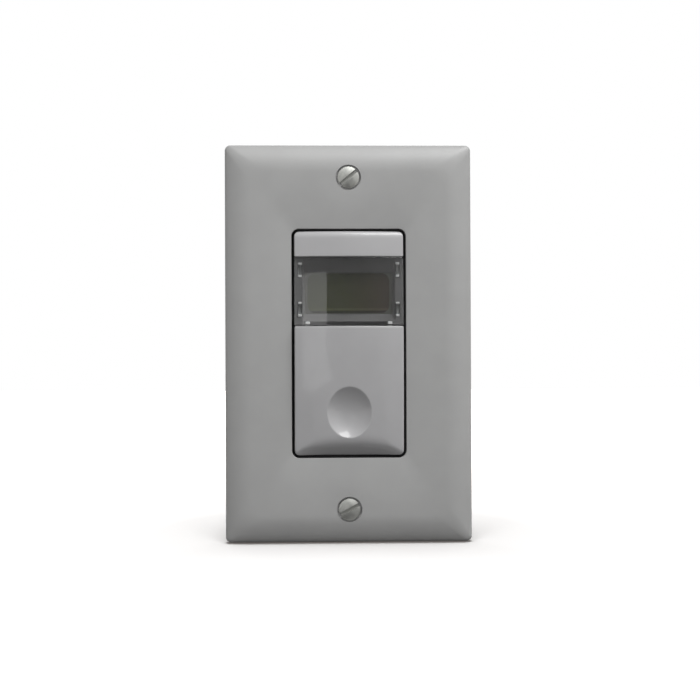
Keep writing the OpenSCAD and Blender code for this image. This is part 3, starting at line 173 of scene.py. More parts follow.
def ring_edges(bm, ring):
    return [bm.edges.get(pair) for pair in zip(ring, ring[1:] + ring[:1])]


def next_ring(bm, ring, points):
    made = bmesh.ops.extrude_edge_only(bm, edges=ring_edges(bm, ring))["geom"]
    fresh = {g for g in made if isinstance(g, bmesh.types.BMVert)}
    grown = [next(e.other_vert(v) for e in v.link_edges if e.other_vert(v) in fresh) for v in ring]
    for vert, point in zip(grown, points):
        vert.co = point
    return grown


def loft(rings, closed=False):
    """A solid skinned over rings of points, with both ends capped or joined to each other."""
    bm = bmesh.new()
    start = ring = first_ring(bm, rings[0])
    for points in rings[1:] + ([rings[0]] if closed else []):
        ring = next_ring(bm, ring, points)
    if closed:
        bmesh.ops.remove_doubles(bm, verts=bm.verts, dist=WELD)
    else:
        for end in (start, ring):
            bmesh.ops.contextual_create(bm, geom=ring_edges(bm, end))
    bmesh.ops.recalc_face_normals(bm, faces=bm.faces)
    return bm


def turned(profile, x=0.0, y=0.0, steps=64):
    """A solid turned about an axis along z, from its half section of (radius, level)."""
    bm = bmesh.new()
    verts = [bm.verts.new((r, 0, z)) for r, z in profile]
    edges = [bm.edges.new(pair) for pair in zip(verts, verts[1:])]
    bmesh.ops.spin(bm, geom=verts + edges, cent=(0, 0, 0), axis=(0, 0, 1), angle=2 * math.pi,
                   steps=steps, use_merge=True)
    bmesh.ops.remove_doubles(bm, verts=bm.verts, dist=WELD)
    bmesh.ops.translate(bm, verts=bm.verts, vec=(x, y, 0))
    bmesh.ops.recalc_face_normals(bm, faces=bm.faces)
    return bm


def block(low, high, soft=0.0):
    """A box between two corners, with its edges rounded by soft."""
    bm = bmesh.new()
    bmesh.ops.create_cube(bm, size=1.0)
    low, high = Vector(low), Vector(high)
    bmesh.ops.scale(bm, verts=bm.verts, vec=high - low)
    bmesh.ops.translate(bm, verts=bm.verts, vec=(low + high) / 2)
    if soft:
        bmesh.ops.bevel(bm, geom=bm.edges[:], offset=soft, segments=3, profile=0.5, affect="EDGES",
                        material=-1)
    return bm


def scratch_object(bm):
    mesh = bpy.data.meshes.new("scratch")
    bm.to_mesh(mesh)
    bm.free()
    obj = bpy.data.objects.new("scratch", mesh)
    bpy.context.scene.collection.objects.link(obj)
    return obj


def carve(bm, tool, operation="DIFFERENCE"):
    """A solid with another cut out of it, or joined to it; both are used up."""
    body, cutter = scratch_object(bm), scratch_object(tool)
    modifier = body.modifiers.new("carve", "BOOLEAN")
    modifier.object, modifier.operation, modifier.solver = cutter, operation, "EXACT"
    bpy.context.view_layer.update()
    result = body.evaluated_get(bpy.context.evaluated_depsgraph_get())
    carved = bmesh.new()
    carved.from_mesh(result.to_mesh())
    result.to_mesh_clear()
    for obj in (body, cutter):
        mesh = obj.data
        bpy.data.objects.remove(obj)
        bpy.data.meshes.remove(mesh)
    return carved


def piece(bm, name, body, slot, nodes, sharp=32.0, finish=None):
    """Stands a finished mesh upright as one piece of the object, in place of CAD nodes."""
    bmesh.ops.remove_doubles(bm, verts=bm.verts, dist=WELD)
    bmesh.ops.recalc_face_normals(bm, faces=bm.faces)
    for face in bm.faces:
        face.smooth = True
    for edge in bm.edges:
        edge.smooth = edge.calc_face_angle(0.0) < math.radians(sharp)
    bmesh.ops.transform(bm, matrix=STAND, verts=bm.verts)
    mesh = bpy.data.meshes.new(name)
    bm.to_mesh(mesh)
    bm.free()
    mesh.materials.append(MATERIALS[finish or slot])
    obj = bpy.data.objects.new(name, mesh)
    bpy.context.scene.collection.objects.link(obj)
    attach(obj, body)
    if nodes:
        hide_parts(*nodes)
    return obj


# Form of the device face

def soft_min(a, b, blend):
    near = max(blend - abs(a - b), 0.0) / blend
    return min(a, b) - near * near * blend / 4


def crown_level(x, y):
    """Level of the face's two-way crown."""
    belly = SIDE_CROWN_R - CROWN_R + math.sqrt(CROWN_R ** 2 - y * y)
    return FACE_Z - SIDE_CROWN_R + math.sqrt(belly * belly - x * x)


def roll_level(roll, y):
    """Level of a roll along an end of the face.

    It runs on straight, inwards from where it meets the crown and outwards from where it is steepest.
    """
    out = math.copysign(1.0, roll["y"]) * (y - roll["y"])
    reach = min(max(out, abs(roll["meet"] - roll["y"])), roll["r"] * math.sin(ROLL_STEEPEST))
    height = math.sqrt(roll["r"] ** 2 - reach ** 2)
    return roll["z"] + height - (out - reach) * reach / height


def end_level(roll, x, y):
    """Level of an end roll across the face: it follows the side crown and fades to the corners."""
    return roll_level(roll, y) + crown_level(x, y) - crown_level(0.0, y) + roll["fade"] * abs(x) ** 3


def face_level(x, y):
    level = soft_min(crown_level(x, y), end_level(BOTTOM_ROLL, x, y), ROLL_BLEND)
    return soft_min(level, end_level(TOP_ROLL, x, y), TOP_BLEND)


def dimple_level(x, y):
    """Level of the barrel that scoops the thumb dimple, leaning down from the slope of the face."""
    high, low = (face_level(0.0, SCOOP_Y + end * DIMPLE_H / 2) for end in (1, -1))
    tilt = math.atan2(high - low, DIMPLE_H) + SCOOP_LEAN
    chord = DIMPLE_H / math.cos(tilt)
    belly_r = (DIMPLE_W ** 2 / 4 + DIMPLE_DEPTH ** 2) / (2 * DIMPLE_DEPTH)
    stave_r = (chord ** 2 / 4 + DIMPLE_DEPTH ** 2) / (2 * DIMPLE_DEPTH)
    run = (y - SCOOP_Y) / math.cos(tilt)
    belly = belly_r - stave_r + math.sqrt(max(stave_r ** 2 - run * run, 0.0))
    drop = belly_r - DIMPLE_DEPTH - math.sqrt(max(belly * belly - x * x, 0.0))
    return (high + low) / 2 + (y - SCOOP_Y) * math.tan(tilt) + drop / math.cos(tilt)


def button_level(x, y):
    return soft_min(face_level(x, y), dimple_level(x, y), DIMPLE_BLEND)


def face_outline(low_y, high_y, low_r, high_r):
    """Outline of a piece of the face, as a function of how far it is drawn in."""
    def outline(inset):
        return rounded_ring(FACE_W / 2 - inset, low_y + inset, high_y - inset, low_r - inset, high_r - inset)
    return outline


def ellipse_ring(points, middle, half_w, half_h):
    """Points of an ellipse, each in the direction of a point of an outer ring."""
    ring = []
    for p in points:
        angle = math.atan2((p.y - middle) / half_h, p.x / half_w)
        ring.append(Vector((half_w * math.cos(angle), middle + half_h * math.sin(angle))))
    return ring


def soft_edge(outline, level, soft, steps=4):
    """Rings round the front edge of a face piece, from its side to its front."""
    rings = []
    for i in range(steps + 1):
        turn = math.radians(90 * i / steps)
        ring = outline(soft * (1 - math.cos(turn)))
        drop = soft * (1 - math.sin(turn))
        rings.append(at(ring, lambda x, y: level(x, y) - drop))
    return rings


def front_rings(outline, level, soft, middle, half_w, half_h, steps=26):
    """Rings from a face piece's soft edge in to an ellipse, and on to the ellipse's middle."""
    rim = outline(soft)
    heart = ellipse_ring(rim, middle, half_w, half_h)
    ways = [i / steps for i in range(1, steps)] + list(RIM_WAYS)
    rings = [at([p.lerp(q, way) for p, q in zip(rim, heart)], level) for way in ways]
    centre = Vector((0.0, middle))
    return rings + [at([centre.lerp(q, share) for q in heart], level) for share in HEART_SHARES]


# Pieces

def plate_ring(inset, corner, level):
    return at(rounded_ring(PLATE_W / 2 - inset, inset - PLATE_H / 2, PLATE_H / 2 - inset, corner, corner,
                           across=4, along=4, turn=8), level)


def opening_ring(grow, level):
    return at(rounded_ring(OPENING_W / 2 + grow, -OPENING_H / 2 - grow, OPENING_H / 2 + grow,
                           OPENING_CORNER + grow, OPENING_CORNER + grow, across=4, along=4, turn=8), level)


def roll_profile(inset, front, radius, width):
    """Level of the plate's rolled border at a distance in from its edge."""
    across = max(width - inset, 0.0)
    return front - radius + math.sqrt(radius ** 2 - across ** 2)


def corner_at(corner, inset):
    """Corner radius of the border, which opens out inwards into a soft mitre."""
    return corner + CORNER_OPENS * inset


def plate_front_rings():
    """Rings from the plate's back, round its outer edge and in over the rolled border."""
    soft = PLATE_EDGE_SOFT
    rings = [plate_ring(PLATE_WALL, INNER_CORNER, 0.0), plate_ring(soft, BACK_CORNER, 0.0)]
    rings.append(plate_ring(0.0, PLATE_CORNER, soft))
    edge_z = roll_profile(0.0, PLATE_Z, ROLL_R, ROLL_W)
    rings += [plate_ring(inset, PLATE_CORNER, edge_z + rise) for inset, rise in EDGE_TURN]
    for i in range(1, ROLL_STEPS + 1):
        inset = soft + (ROLL_W - soft) * i / ROLL_STEPS
        level = roll_profile(inset, PLATE_Z, ROLL_R, ROLL_W)
        rings.append(plate_ring(inset, corner_at(PLATE_CORNER, inset), level))
    rings.append(plate_ring(ROLL_W + FLAT_RIM, corner_at(PLATE_CORNER, ROLL_W), PLATE_Z))
    return rings


def plate_back_rings():
    """Rings round the edge of the opening, and out over the underside of the border."""
    rings = []
    for turn in map(math.radians, OPENING_TURNS):
        grow, drop = OPENING_SOFT * (1 - math.cos(turn)), OPENING_SOFT * (1 - math.sin(turn))
        rings.append(opening_ring(grow, PLATE_Z - drop))
    under = PLATE_Z - PLATE_WALL
    rings.append(opening_ring(0.0, under))
    for i in range(INNER_ROLL_STEPS, -1, -1):
        inset = PLATE_WALL + (ROLL_W - PLATE_WALL) * i / INNER_ROLL_STEPS
        level = roll_profile(inset, under, INNER_ROLL_R, ROLL_W)
        rings.append(plate_ring(inset, corner_at(INNER_CORNER, inset), level))
    return rings


def wall_plate():
    bm = loft(plate_front_rings() + plate_back_rings(), closed=True)
    over = PLATE_Z + CUT_OVER
    boss = [(0, BOSS_Z), (BOSS_R, BOSS_Z), (BOSS_R, BOSS_TOP_Z), (0, BOSS_TOP_Z)]
    hole = [(0, over), (SINK_R, over), (SINK_R, SINK_Z), (SEAT_R, SINK_Z), (HOLE_R, SEAT_END_Z),
            (HOLE_R, -CUT_OVER), (0, -CUT_OVER)]
    for side in (-1, 1):
        bm = carve(bm, turned(boss, y=side * PLATE_SCREW_Y), "UNION")
        bm = carve(bm, turned(hole, y=side * PLATE_SCREW_Y))
    return piece(bm, "wall_plate_moulding", "switch_base", "grey_plate", ["wall_plate"], sharp=24.0)


def threaded(radius, low, high, y):
    """A screw shank with its thread: a helical skin cut flat at both ends, with a chamfered point."""
    turns = int((high - low) / THREAD_PITCH) + THREAD_SPARE
    root = radius - THREAD_DEPTH
    bm = bmesh.new()
    verts = [bm.verts.new((root + THREAD_DEPTH * rise, 0, low + THREAD_PITCH * (share - THREAD_LEAD)))
             for rise, share in THREAD_TOOTH]
    edges = [bm.edges.new(pair) for pair in zip(verts, verts[1:])]
    steps = THREAD_STEPS * turns
    bmesh.ops.spin(bm, geom=verts + edges, cent=(0, 0, 0), axis=(0, 0, 1), angle=2 * math.pi * turns,
                   steps=steps, dvec=(0, 0, THREAD_PITCH * turns / steps))
    bmesh.ops.remove_doubles(bm, verts=bm.verts, dist=THREAD_WELD)
    for level, outwards in ((low, -1), (high, 1)):
        bmesh.ops.bisect_plane(bm, geom=bm.verts[:] + bm.edges[:] + bm.faces[:], dist=WELD,
                               plane_co=(0, 0, level), plane_no=(0, 0, outwards), clear_outer=True)
    bmesh.ops.holes_fill(bm, edges=[e for e in bm.edges if e.is_boundary], sides=0)
    for vert in bm.verts:
        point_r = root - THREAD_DEPTH + vert.co.z - low
        vert.co.xy *= min(1.0, point_r / max(vert.co.xy.length, root))
    bmesh.ops.translate(bm, verts=bm.verts, vec=(0, y, 0))
    bmesh.ops.recalc_face_normals(bm, faces=bm.faces)
    return bm


def dome_points(radius, rim_z, rise, steps=10):
    """Half section of a screw head's dome, from its top to its rim."""
    dome_r = (radius ** 2 + rise ** 2) / (2 * rise)
    middle_z = rim_z + rise - dome_r
    reaches = [radius * i / steps for i in range(steps + 1)]
    return [(r, middle_z + math.sqrt(dome_r ** 2 - r * r)) for r in reaches]


def oval_head(side):
    """One plate screw: a slotted oval head on its threaded shank."""
    y = side * PLATE_SCREW_Y
    top = HEAD_RIM_Z + HEAD_DOME
    dome = dome_points(HEAD_R, HEAD_RIM_Z, HEAD_DOME)
    dome[-1] = (HEAD_R - HEAD_EDGE, HEAD_RIM_Z + HEAD_EDGE / 2)
    neck = HEAD_RIM_Z - HEAD_CONE
    cone = [(HEAD_R, HEAD_RIM_Z - HEAD_EDGE), (SHANK_R, neck), (SHANK_R, neck - NECK_L), (0, neck - NECK_L)]
    bm = turned(dome + cone, y=y)
    reach = HEAD_R + CUT_OVER
    slot = block((-reach, -SLOT_W / 2, SLOT_FLOOR_Z), (reach, SLOT_W / 2, top + CUT_OVER))
    turn = Matrix.Rotation(math.radians(SLOT_TURNS[side]), 3, "Z")
    bmesh.ops.rotate(slot, verts=slot.verts, cent=(0, 0, 0), matrix=turn)
    bmesh.ops.translate(slot, verts=slot.verts, vec=(0, y, 0))
    bm = carve(bm, slot)
    return add_mesh(bm, threaded(SHANK_R, SHANK_END_Z, neck - NECK_L / 2, y))


def add_mesh(bm, other):
    """Adds another bmesh's faces to a bmesh; the other is used up."""
    mesh = bpy.data.meshes.new("scratch")
    other.to_mesh(mesh)
    other.free()
    bm.from_mesh(mesh)
    bpy.data.meshes.remove(mesh)
    return bm


def plate_screws():
    bm = add_mesh(oval_head(1), oval_head(-1))
    return piece(bm, "oval_head_screws", "switch_base", "nickel_screw", ["plate_screws"], sharp=28.0)


def round_head(side):
    """One box screw: a slotted round head, a bare neck in its retainer and a long threaded shank."""
    y = side * BOX_SCREW_Y
    profile = dome_points(BOX_HEAD_R, BOX_HEAD_Z1 - BOX_HEAD_DOME, BOX_HEAD_DOME)
    profile += [(BOX_HEAD_R, BOX_HEAD_Z0 + BOX_HEAD_SOFT), (BOX_HEAD_R - BOX_HEAD_SOFT, BOX_HEAD_Z0)]
    profile += [(BOX_NECK_R, BOX_HEAD_Z0), (BOX_NECK_R, BOX_NECK_Z - NECK_L), (0, BOX_NECK_Z - NECK_L)]
    bm = turned(profile, y=y)
    reach = BOX_HEAD_R + CUT_OVER
    bm = carve(bm, block((-reach, y - SLOT_W / 2, BOX_SLOT_FLOOR_Z),
                         (reach, y + SLOT_W / 2, BOX_HEAD_Z1 + CUT_OVER)))
    return add_mesh(bm, threaded(BOX_SHANK_R, BOX_SHANK_END_Z, BOX_NECK_Z, y))


def box_screws():
    bm = add_mesh(round_head(1), round_head(-1))
    return piece(bm, "round_head_screws", "switch_base", "zinc_screw", ["box_screws"], sharp=28.0)


def header_cap():
    outline = face_outline(HEADER_Y0, FACE_H / 2, SEAM_CORNER, FACE_CORNER)
    wall = HEADER_WALL
    inner = rounded_ring(FACE_W / 2 - wall, HEADER_Y0 + wall, FACE_H / 2 - wall, POCKET_CORNER, POCKET_CORNER)
    rings = [at(inner, HEADER_ROOF_Z), at(inner, 0.0), at(outline(0.0), 0.0)]
    rings += soft_edge(outline, face_level, FACE_SOFT)
    rings += front_rings(outline, face_level, FACE_SOFT, HEADER_PEG["y"], *HEADER_HEART)
    bm = loft(rings)
    peg = HEADER_PEG
    for side in (-1, 1):
        profile = [(0, peg["z"]), (peg["r"] - CHAMFER, peg["z"]), (peg["r"], peg["z"] + CHAMFER),
                   (peg["r"], HEADER_ROOF_Z + OVERLAP), (0, HEADER_ROOF_Z + OVERLAP)]
        bm = carve(bm, turned(profile, x=side * peg["x"], y=peg["y"], steps=32), "UNION")
    return piece(bm, "header_moulding", "switch_base", "grey_face", ["header_cap"])


def display_window():
    outline = face_outline(WINDOW_Y0, WINDOW_Y1, SEAM_CORNER, SEAM_CORNER)
    middle = (WINDOW_Y0 + WINDOW_Y1) / 2
    rings = [at(outline(0.0), LENS_BACK_Z)] + soft_edge(outline, face_level, LENS_SOFT)
    rings += front_rings(outline, face_level, LENS_SOFT, middle, *WINDOW_HEART)
    bm = loft(rings)
    for side in (-1, 1):
        for y in LEG_YS:
            low = (side * LEG_X - LEG_T / 2, y - LEG_H / 2, LEG_Z)
            high = (side * LEG_X + LEG_T / 2, y + LEG_H / 2, LENS_BACK_Z + OVERLAP)
            bm = carve(bm, block(low, high, soft=LEG_SOFT), "UNION")
    return piece(bm, "smoky_window", "switch_base", "smoky_clear", ["display_window"])


def frame_ring(half_w, low_y, high_y, level, corner=POCKET_CORNER):
    return at(rounded_ring(half_w, low_y, high_y, corner, corner, across=4, along=4, turn=4), level)


def lcd_frame():
    view = (VIEW_W / 2, LCD_Y - VIEW_H / 2, LCD_Y + VIEW_H / 2)
    pocket = (LCD_W / 2, LCD_Y - LCD_H / 2, LCD_Y + LCD_H / 2)
    outer = (FRAME_W / 2, FRAME_Y0, FRAME_Y1)
    funnel = (FUNNEL_X, FUNNEL_Y0, FUNNEL_Y1)
    soft = FUNNEL_SOFT
    rings = [
        frame_ring(*outer, 0.0), frame_ring(*outer, FRAME_TOP_Z),
        frame_ring(FUNNEL_X + soft, FUNNEL_Y0 - soft / 2, FUNNEL_Y1 + soft, FRAME_TOP_Z),
        frame_ring(*funnel, FRAME_TOP_Z - soft), frame_ring(*view, VIEW_Z),
        frame_ring(*view, GLASS_SEAT_Z), frame_ring(*pocket, GLASS_SEAT_Z),
        frame_ring(*pocket, 0.0),
    ]
    bm = loft(rings, closed=True)
    gap, over = LEG_SLOT_GAP, FRAME_TOP_Z + CUT_OVER
    for side in (-1, 1):
        for y in LEG_YS:
            room = LEG_H / 2 + TIP_L / 2 + gap
            low = (side * LEG_X - LEG_T / 2 - gap, y - room, LEG_Z - 2 * gap)
            high = (side * LEG_X + LEG_T / 2 + gap, y + room, over)
            bm = carve(bm, block(low, high))
        seat = FOOT_W / 2 + gap
        bm = carve(bm, block((side * FOOT_X - seat, FRAME_Y0 - CUT_OVER, TIP_Z - gap),
                             (side * FOOT_X + seat, FOOT_Y + FOOT_L / 2 + gap, over)))
    bm = carve(bm, block((-DRAIN_X, FRAME_Y0 - CUT_OVER, DRAIN_Z), (DRAIN_X, DRAIN_Y1, over)))
    return piece(bm, "lcd_bezel", "switch_base", "dark_frame", ["lcd_frame"])


def clip_tip(x, y, width, length):
    """A ground tip under the window, sunk a little into its back; its pale colour is also a painted glint of
    the clear leg's end.
    """
    low = (x - width / 2, y - length / 2, TIP_Z)
    return block(low, (x + width / 2, y + length / 2, LENS_BACK_Z + TIP_SUNK), TIP_SOFT)


def window_tips():
    """The ground ends of the window's clip legs and of its two lower feet, and the legs' ground cores; the
    ends' pale colour is also a painted glint of the clear plastic.
    """
    bm = bmesh.new()
    for side in (-1, 1):
        for y in LEG_YS:
            core = (side * LEG_X - TIP_W / 2, y - LEG_H / 2, LEG_Z + TIP_SOFT)
            add_mesh(bm, block(core, (core[0] + TIP_W, core[1] + LEG_H, CORE_Z), TIP_SOFT))
            for end in (-1, 1):
                add_mesh(bm, clip_tip(side * LEG_X, y + end * LEG_H / 2, TIP_W, TIP_L))
        add_mesh(bm, clip_tip(side * FOOT_X, FOOT_Y, FOOT_W, FOOT_L))
    return piece(bm, "window_clip_tips", "switch_base", "smoky_clear", [], finish="ground_clear_glint")


def button_works():
    """What hangs from the underside of the button: pad, spring pegs, hinge arms and hooks."""
    roof = BUTTON_UNDER_Z + OVERLAP
    pad_roof = BUTTON_UNDER_Z + PAD_LAP
    post = [(0, POST_Z), (POST_R - CHAMFER, POST_Z), (POST_R, POST_Z + CHAMFER), (POST_R, PAD_Z)]
    pad = [(PAD_R - PAD_CHAMFER, PAD_Z), (PAD_R, PAD_Z + PAD_CHAMFER), (PAD_R, pad_roof), (0, pad_roof)]
    low = BUTTON_UNDER_Z - PEG_H
    peg = [(0, low), (PEG_R - CHAMFER, low), (PEG_R, low + CHAMFER), (PEG_R, roof), (0, roof)]
    parts = [turned(post + pad, y=DIMPLE_Y)]
    for side in (-1, 1):
        parts.append(turned(peg, x=side * SPRING_X, y=DIMPLE_Y, steps=32))
        parts.append(hinge_arm(side, roof))
        parts.append(button_hook(side * HOOK_X, roof))
    return parts


def button_hook(x, roof):
    """A hook that keeps the button from lifting off, with its barb."""
    half_w, half_l = HOOK_W / 2, HOOK_L / 2
    shank = block((x - half_w, HOOK_Y - half_l, BARB_Z0), (x + half_w, HOOK_Y + half_l, roof), HOOK_SOFT)
    half_barb = half_w - BARB_INSET
    barb = block((x - half_barb, HOOK_Y - half_l - BARB, BARB_Z0 + BARB_INSET),
                 (x + half_barb, HOOK_Y - half_l + OVERLAP, BARB_Z1), HOOK_SOFT)
    return carve(shank, barb, "UNION")


def hinge_arm(side, roof):
    """An arm that reaches down to the hinge axis, with its pin."""
    arm = turned([(0, ARM_X0), (ARM_R, ARM_X0), (ARM_R, ARM_X1), (PIN_R, ARM_X1), (PIN_R, PIN_X1 - CHAMFER),
                  (PIN_R - CHAMFER, PIN_X1), (0, PIN_X1)], steps=40)
    turn = Matrix.Rotation(math.radians(90 * side), 3, "Y")
    bmesh.ops.rotate(arm, verts=arm.verts, cent=(0, 0, 0), matrix=turn)
    bmesh.ops.translate(arm, verts=arm.verts, vec=(0, HINGE_Y, HINGE_Z))
    half = ARM_R - STEM_INSET
    xs = sorted((side * (ARM_X0 + STEM_GAP), side * (ARM_X1 - STEM_GAP)))
    stem = block((xs[0], HINGE_Y - half, HINGE_Z), (xs[1], HINGE_Y + half, roof))
    return carve(arm, stem, "UNION")


def on_off_button():
    outline = face_outline(-FACE_H / 2, BUTTON_Y1, FACE_CORNER, SEAM_CORNER)
    pocket = rounded_ring(POCKET_X, POCKET_Y0, POCKET_Y1, POCKET_CORNER, POCKET_CORNER)
    rings = [at(pocket, BUTTON_UNDER_Z), at(pocket, SKIRT_Z), at(outline(0.0), SKIRT_Z)]
    rings += soft_edge(outline, button_level, FACE_SOFT)
    rings += front_rings(outline, button_level, FACE_SOFT, DIMPLE_Y, DIMPLE_W / 2, DIMPLE_H / 2)
    bm = loft(rings)
    far = FACE_W
    bm = carve(bm, block((-far, HINGE_CUT_Y, -CUT_OVER), (far, BUTTON_Y1 + CUT_OVER, HINGE_ROOF_Z)))
    for part in button_works():
        bm = carve(bm, part, "UNION")
    return piece(bm, "on_off_paddle", "button", "grey_face", ["on_off_button"])


def coil_spring(x):
    """One round-wire spring with its turns, closed at both ends of the wire."""
    bm = bmesh.new()
    wire = bmesh.ops.create_circle(bm, segments=WIRE_SIDES, radius=SPRING_WIRE_R, cap_ends=True)["verts"]
    bmesh.ops.rotate(bm, verts=wire, cent=(0, 0, 0), matrix=Matrix.Rotation(math.radians(90), 3, "X"))
    low = SPRING_Z0 + SPRING_WIRE_R
    bmesh.ops.translate(bm, verts=wire, vec=(SPRING_R, 0, low))
    steps = SPRING_TURNS * SPRING_STEPS
    rise = SPRING_Z1 - SPRING_WIRE_R - low
    bmesh.ops.spin(bm, geom=bm.faces[:], cent=(0, 0, 0), axis=(0, 0, 1), angle=2 * math.pi * SPRING_TURNS,
                   steps=steps, dvec=(0, 0, rise / steps))
    bmesh.ops.translate(bm, verts=bm.verts, vec=(x, DIMPLE_Y, 0))
    return bm


def button_springs():
    bm = add_mesh(coil_spring(SPRING_X), coil_spring(-SPRING_X))
    obj = piece(bm, "return_springs", "switch_base", "spring_steel", ["button_springs"], sharp=40.0)
    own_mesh(obj)
    return obj


# Materials: scales in features per metre, heights of relief in metres

NOISE_SPAN = (0.3, 0.7)
CLOUD_SCALE, GLOSS_SCALE, GLOSS_SPREAD, COAT_ROUGH = 110.0, 600.0, 0.03, 0.05
STAIN_SCALE, STAIN_SHADE, BUFF_SCALE, BUFF_SPREAD, SCRATCH_SCALE = 300.0, 0.86, 900.0, 0.07, 2500.0
HAZE_SCALE, HAZE_SPREAD, RIPPLE_SCALE, RIPPLE = 400.0, 0.02, 150.0, 0.5e-6
STRAND_SCALE, STRAND_STRETCH, STRAND_SHADES, STRAND_RELIEF = 1800.0, (1, 1, 0.2), (0.7, 1.15), 2.0e-5
FIELD_SCALE, FIELD_SHADE, FIELD_EDGE, FIELD_EDGE_SHADE, FIELD_RELIEF = 120.0, 1.12, 0.06, 0.82, 1.5e-5
MASK_SCALE, MASK_ROUGH = 700.0, (0.25, 0.4)
WIRE_SCALE, WIRE_WANDER, WIRE_SHADE, WIRE_RELIEF = 1400.0, 0.4, 0.45, 4.0e-5
FILM_GLOSS_SCALE, FILM_ROUGH, FILM_SKIN_SCALE, FILM_SKIN = 900.0, (0.04, 0.1), 3000.0, 0.2e-6


def new_material(name):
    material = bpy.data.materials.new(name)
    material.use_nodes = True
    return material, material.node_tree, material.node_tree.nodes["Principled BSDF"]


def grain(tree, scale, detail=3.0, stretch=(1, 1, 1)):
    """Noise fixed to the object, with features of about 1 / scale metres."""
    coords = tree.nodes.new("ShaderNodeTexCoord")
    mapping = tree.nodes.new("ShaderNodeMapping")
    noise = tree.nodes.new("ShaderNodeTexNoise")
    mapping.inputs["Scale"].default_value = stretch
    noise.inputs["Scale"].default_value = scale
    noise.inputs["Detail"].default_value = detail
    tree.links.new(coords.outputs["Object"], mapping.inputs["Vector"])
    tree.links.new(mapping.outputs["Vector"], noise.inputs["Vector"])
    return noise.outputs["Fac"]


def tones(tree, value, dark, light, low=0.35, high=0.65):
    """Colours spread over a value between two tones."""
    ramp = tree.nodes.new("ShaderNodeValToRGB")
    for element, place, colour in zip(ramp.color_ramp.elements, (low, high), (dark, light)):
        element.position, element.color = place, (*colour, 1.0)
    tree.links.new(value, ramp.inputs["Fac"])
    return ramp.outputs["Color"]


def spread(tree, value, low, high):
    node = tree.nodes.new("ShaderNodeMapRange")
    node.inputs["From Min"].default_value, node.inputs["From Max"].default_value = NOISE_SPAN
    node.inputs["To Min"].default_value, node.inputs["To Max"].default_value = low, high
    tree.links.new(value, node.inputs["Value"])
    return node.outputs["Result"]


def relief(tree, value, height, shader):
    """A bump of a height in metres."""
    bump = tree.nodes.new("ShaderNodeBump")
    bump.inputs["Strength"].default_value = 1.0
    bump.inputs["Distance"].default_value = height
    tree.links.new(value, bump.inputs["Height"])
    tree.links.new(bump.outputs["Normal"], shader.inputs["Normal"])


def shaded(colour, share):
    return tuple(c * share for c in colour)


def plastic(name, colour, rough, cloud=0.04, peel=1.2e-6, peel_scale=1400.0, coat=0.0):
    """Moulded plastic: faint clouds in its colour, a fine moulded skin, uneven gloss."""
    material, tree, shader = new_material(name)
    clouds = tones(tree, grain(tree, CLOUD_SCALE), shaded(colour, 1 - cloud), shaded(colour, 1 + cloud))
    gloss = spread(tree, grain(tree, GLOSS_SCALE), rough - GLOSS_SPREAD, rough + GLOSS_SPREAD)
    tree.links.new(clouds, shader.inputs["Base Color"])
    tree.links.new(gloss, shader.inputs["Roughness"])
    relief(tree, grain(tree, peel_scale, detail=2.0), peel, shader)
    shader.inputs["Coat Weight"].default_value = coat
    shader.inputs["Coat Roughness"].default_value = COAT_ROUGH
    return material


def plated(name, colour, rough, stretch=(1, 1, 1), scratch=1.5e-6):
    """Plated steel or brass: slight staining and fine scratches."""
    material, tree, shader = new_material(name)
    shader.inputs["Metallic"].default_value = 1.0
    stains = tones(tree, grain(tree, STAIN_SCALE, detail=4.0), shaded(colour, STAIN_SHADE), colour)
    buffing = grain(tree, BUFF_SCALE, stretch=stretch)
    gloss = spread(tree, buffing, rough - BUFF_SPREAD, rough + BUFF_SPREAD)
    tree.links.new(stains, shader.inputs["Base Color"])
    tree.links.new(gloss, shader.inputs["Roughness"])
    relief(tree, grain(tree, SCRATCH_SCALE, stretch=stretch), scratch, shader)
    return material


def smoky_moulding(name, colour, rough, ior):
    """Clear tinted moulding with a little haze, which lets the lamps shine through."""
    material, tree, shader = new_material(name)
    shader.inputs["Base Color"].default_value = (*colour, 1.0)
    shader.inputs["Transmission Weight"].default_value = 1.0
    shader.inputs["IOR"].default_value = ior
    haze = spread(tree, grain(tree, HAZE_SCALE), rough, rough + HAZE_SPREAD)
    tree.links.new(haze, shader.inputs["Roughness"])
    relief(tree, grain(tree, RIPPLE_SCALE, detail=1.0), RIPPLE, shader)
    passing = tree.nodes.new("ShaderNodeBsdfTransparent")
    passing.inputs["Color"].default_value = (*(math.sqrt(c) for c in colour), 1.0)
    path = tree.nodes.new("ShaderNodeLightPath")
    mix = tree.nodes.new("ShaderNodeMixShader")
    tree.links.new(path.outputs["Is Shadow Ray"], mix.inputs["Fac"])
    tree.links.new(shader.outputs["BSDF"], mix.inputs[1])
    tree.links.new(passing.outputs["BSDF"], mix.inputs[2])
    tree.links.new(mix.outputs["Shader"], tree.nodes["Material Output"].inputs["Surface"])
    return material


def fibre_card(name, colour):
    """Pressed fibre board with its short strands."""
    material, tree, shader = new_material(name)
    strands = grain(tree, STRAND_SCALE, detail=5.0, stretch=STRAND_STRETCH)
    dark, light = (shaded(colour, share) for share in STRAND_SHADES)
    tree.links.new(tones(tree, strands, dark, light), shader.inputs["Base Color"])
    shader.inputs["Roughness"].default_value = 0.85
    relief(tree, strands, STRAND_RELIEF, shader)
    return material


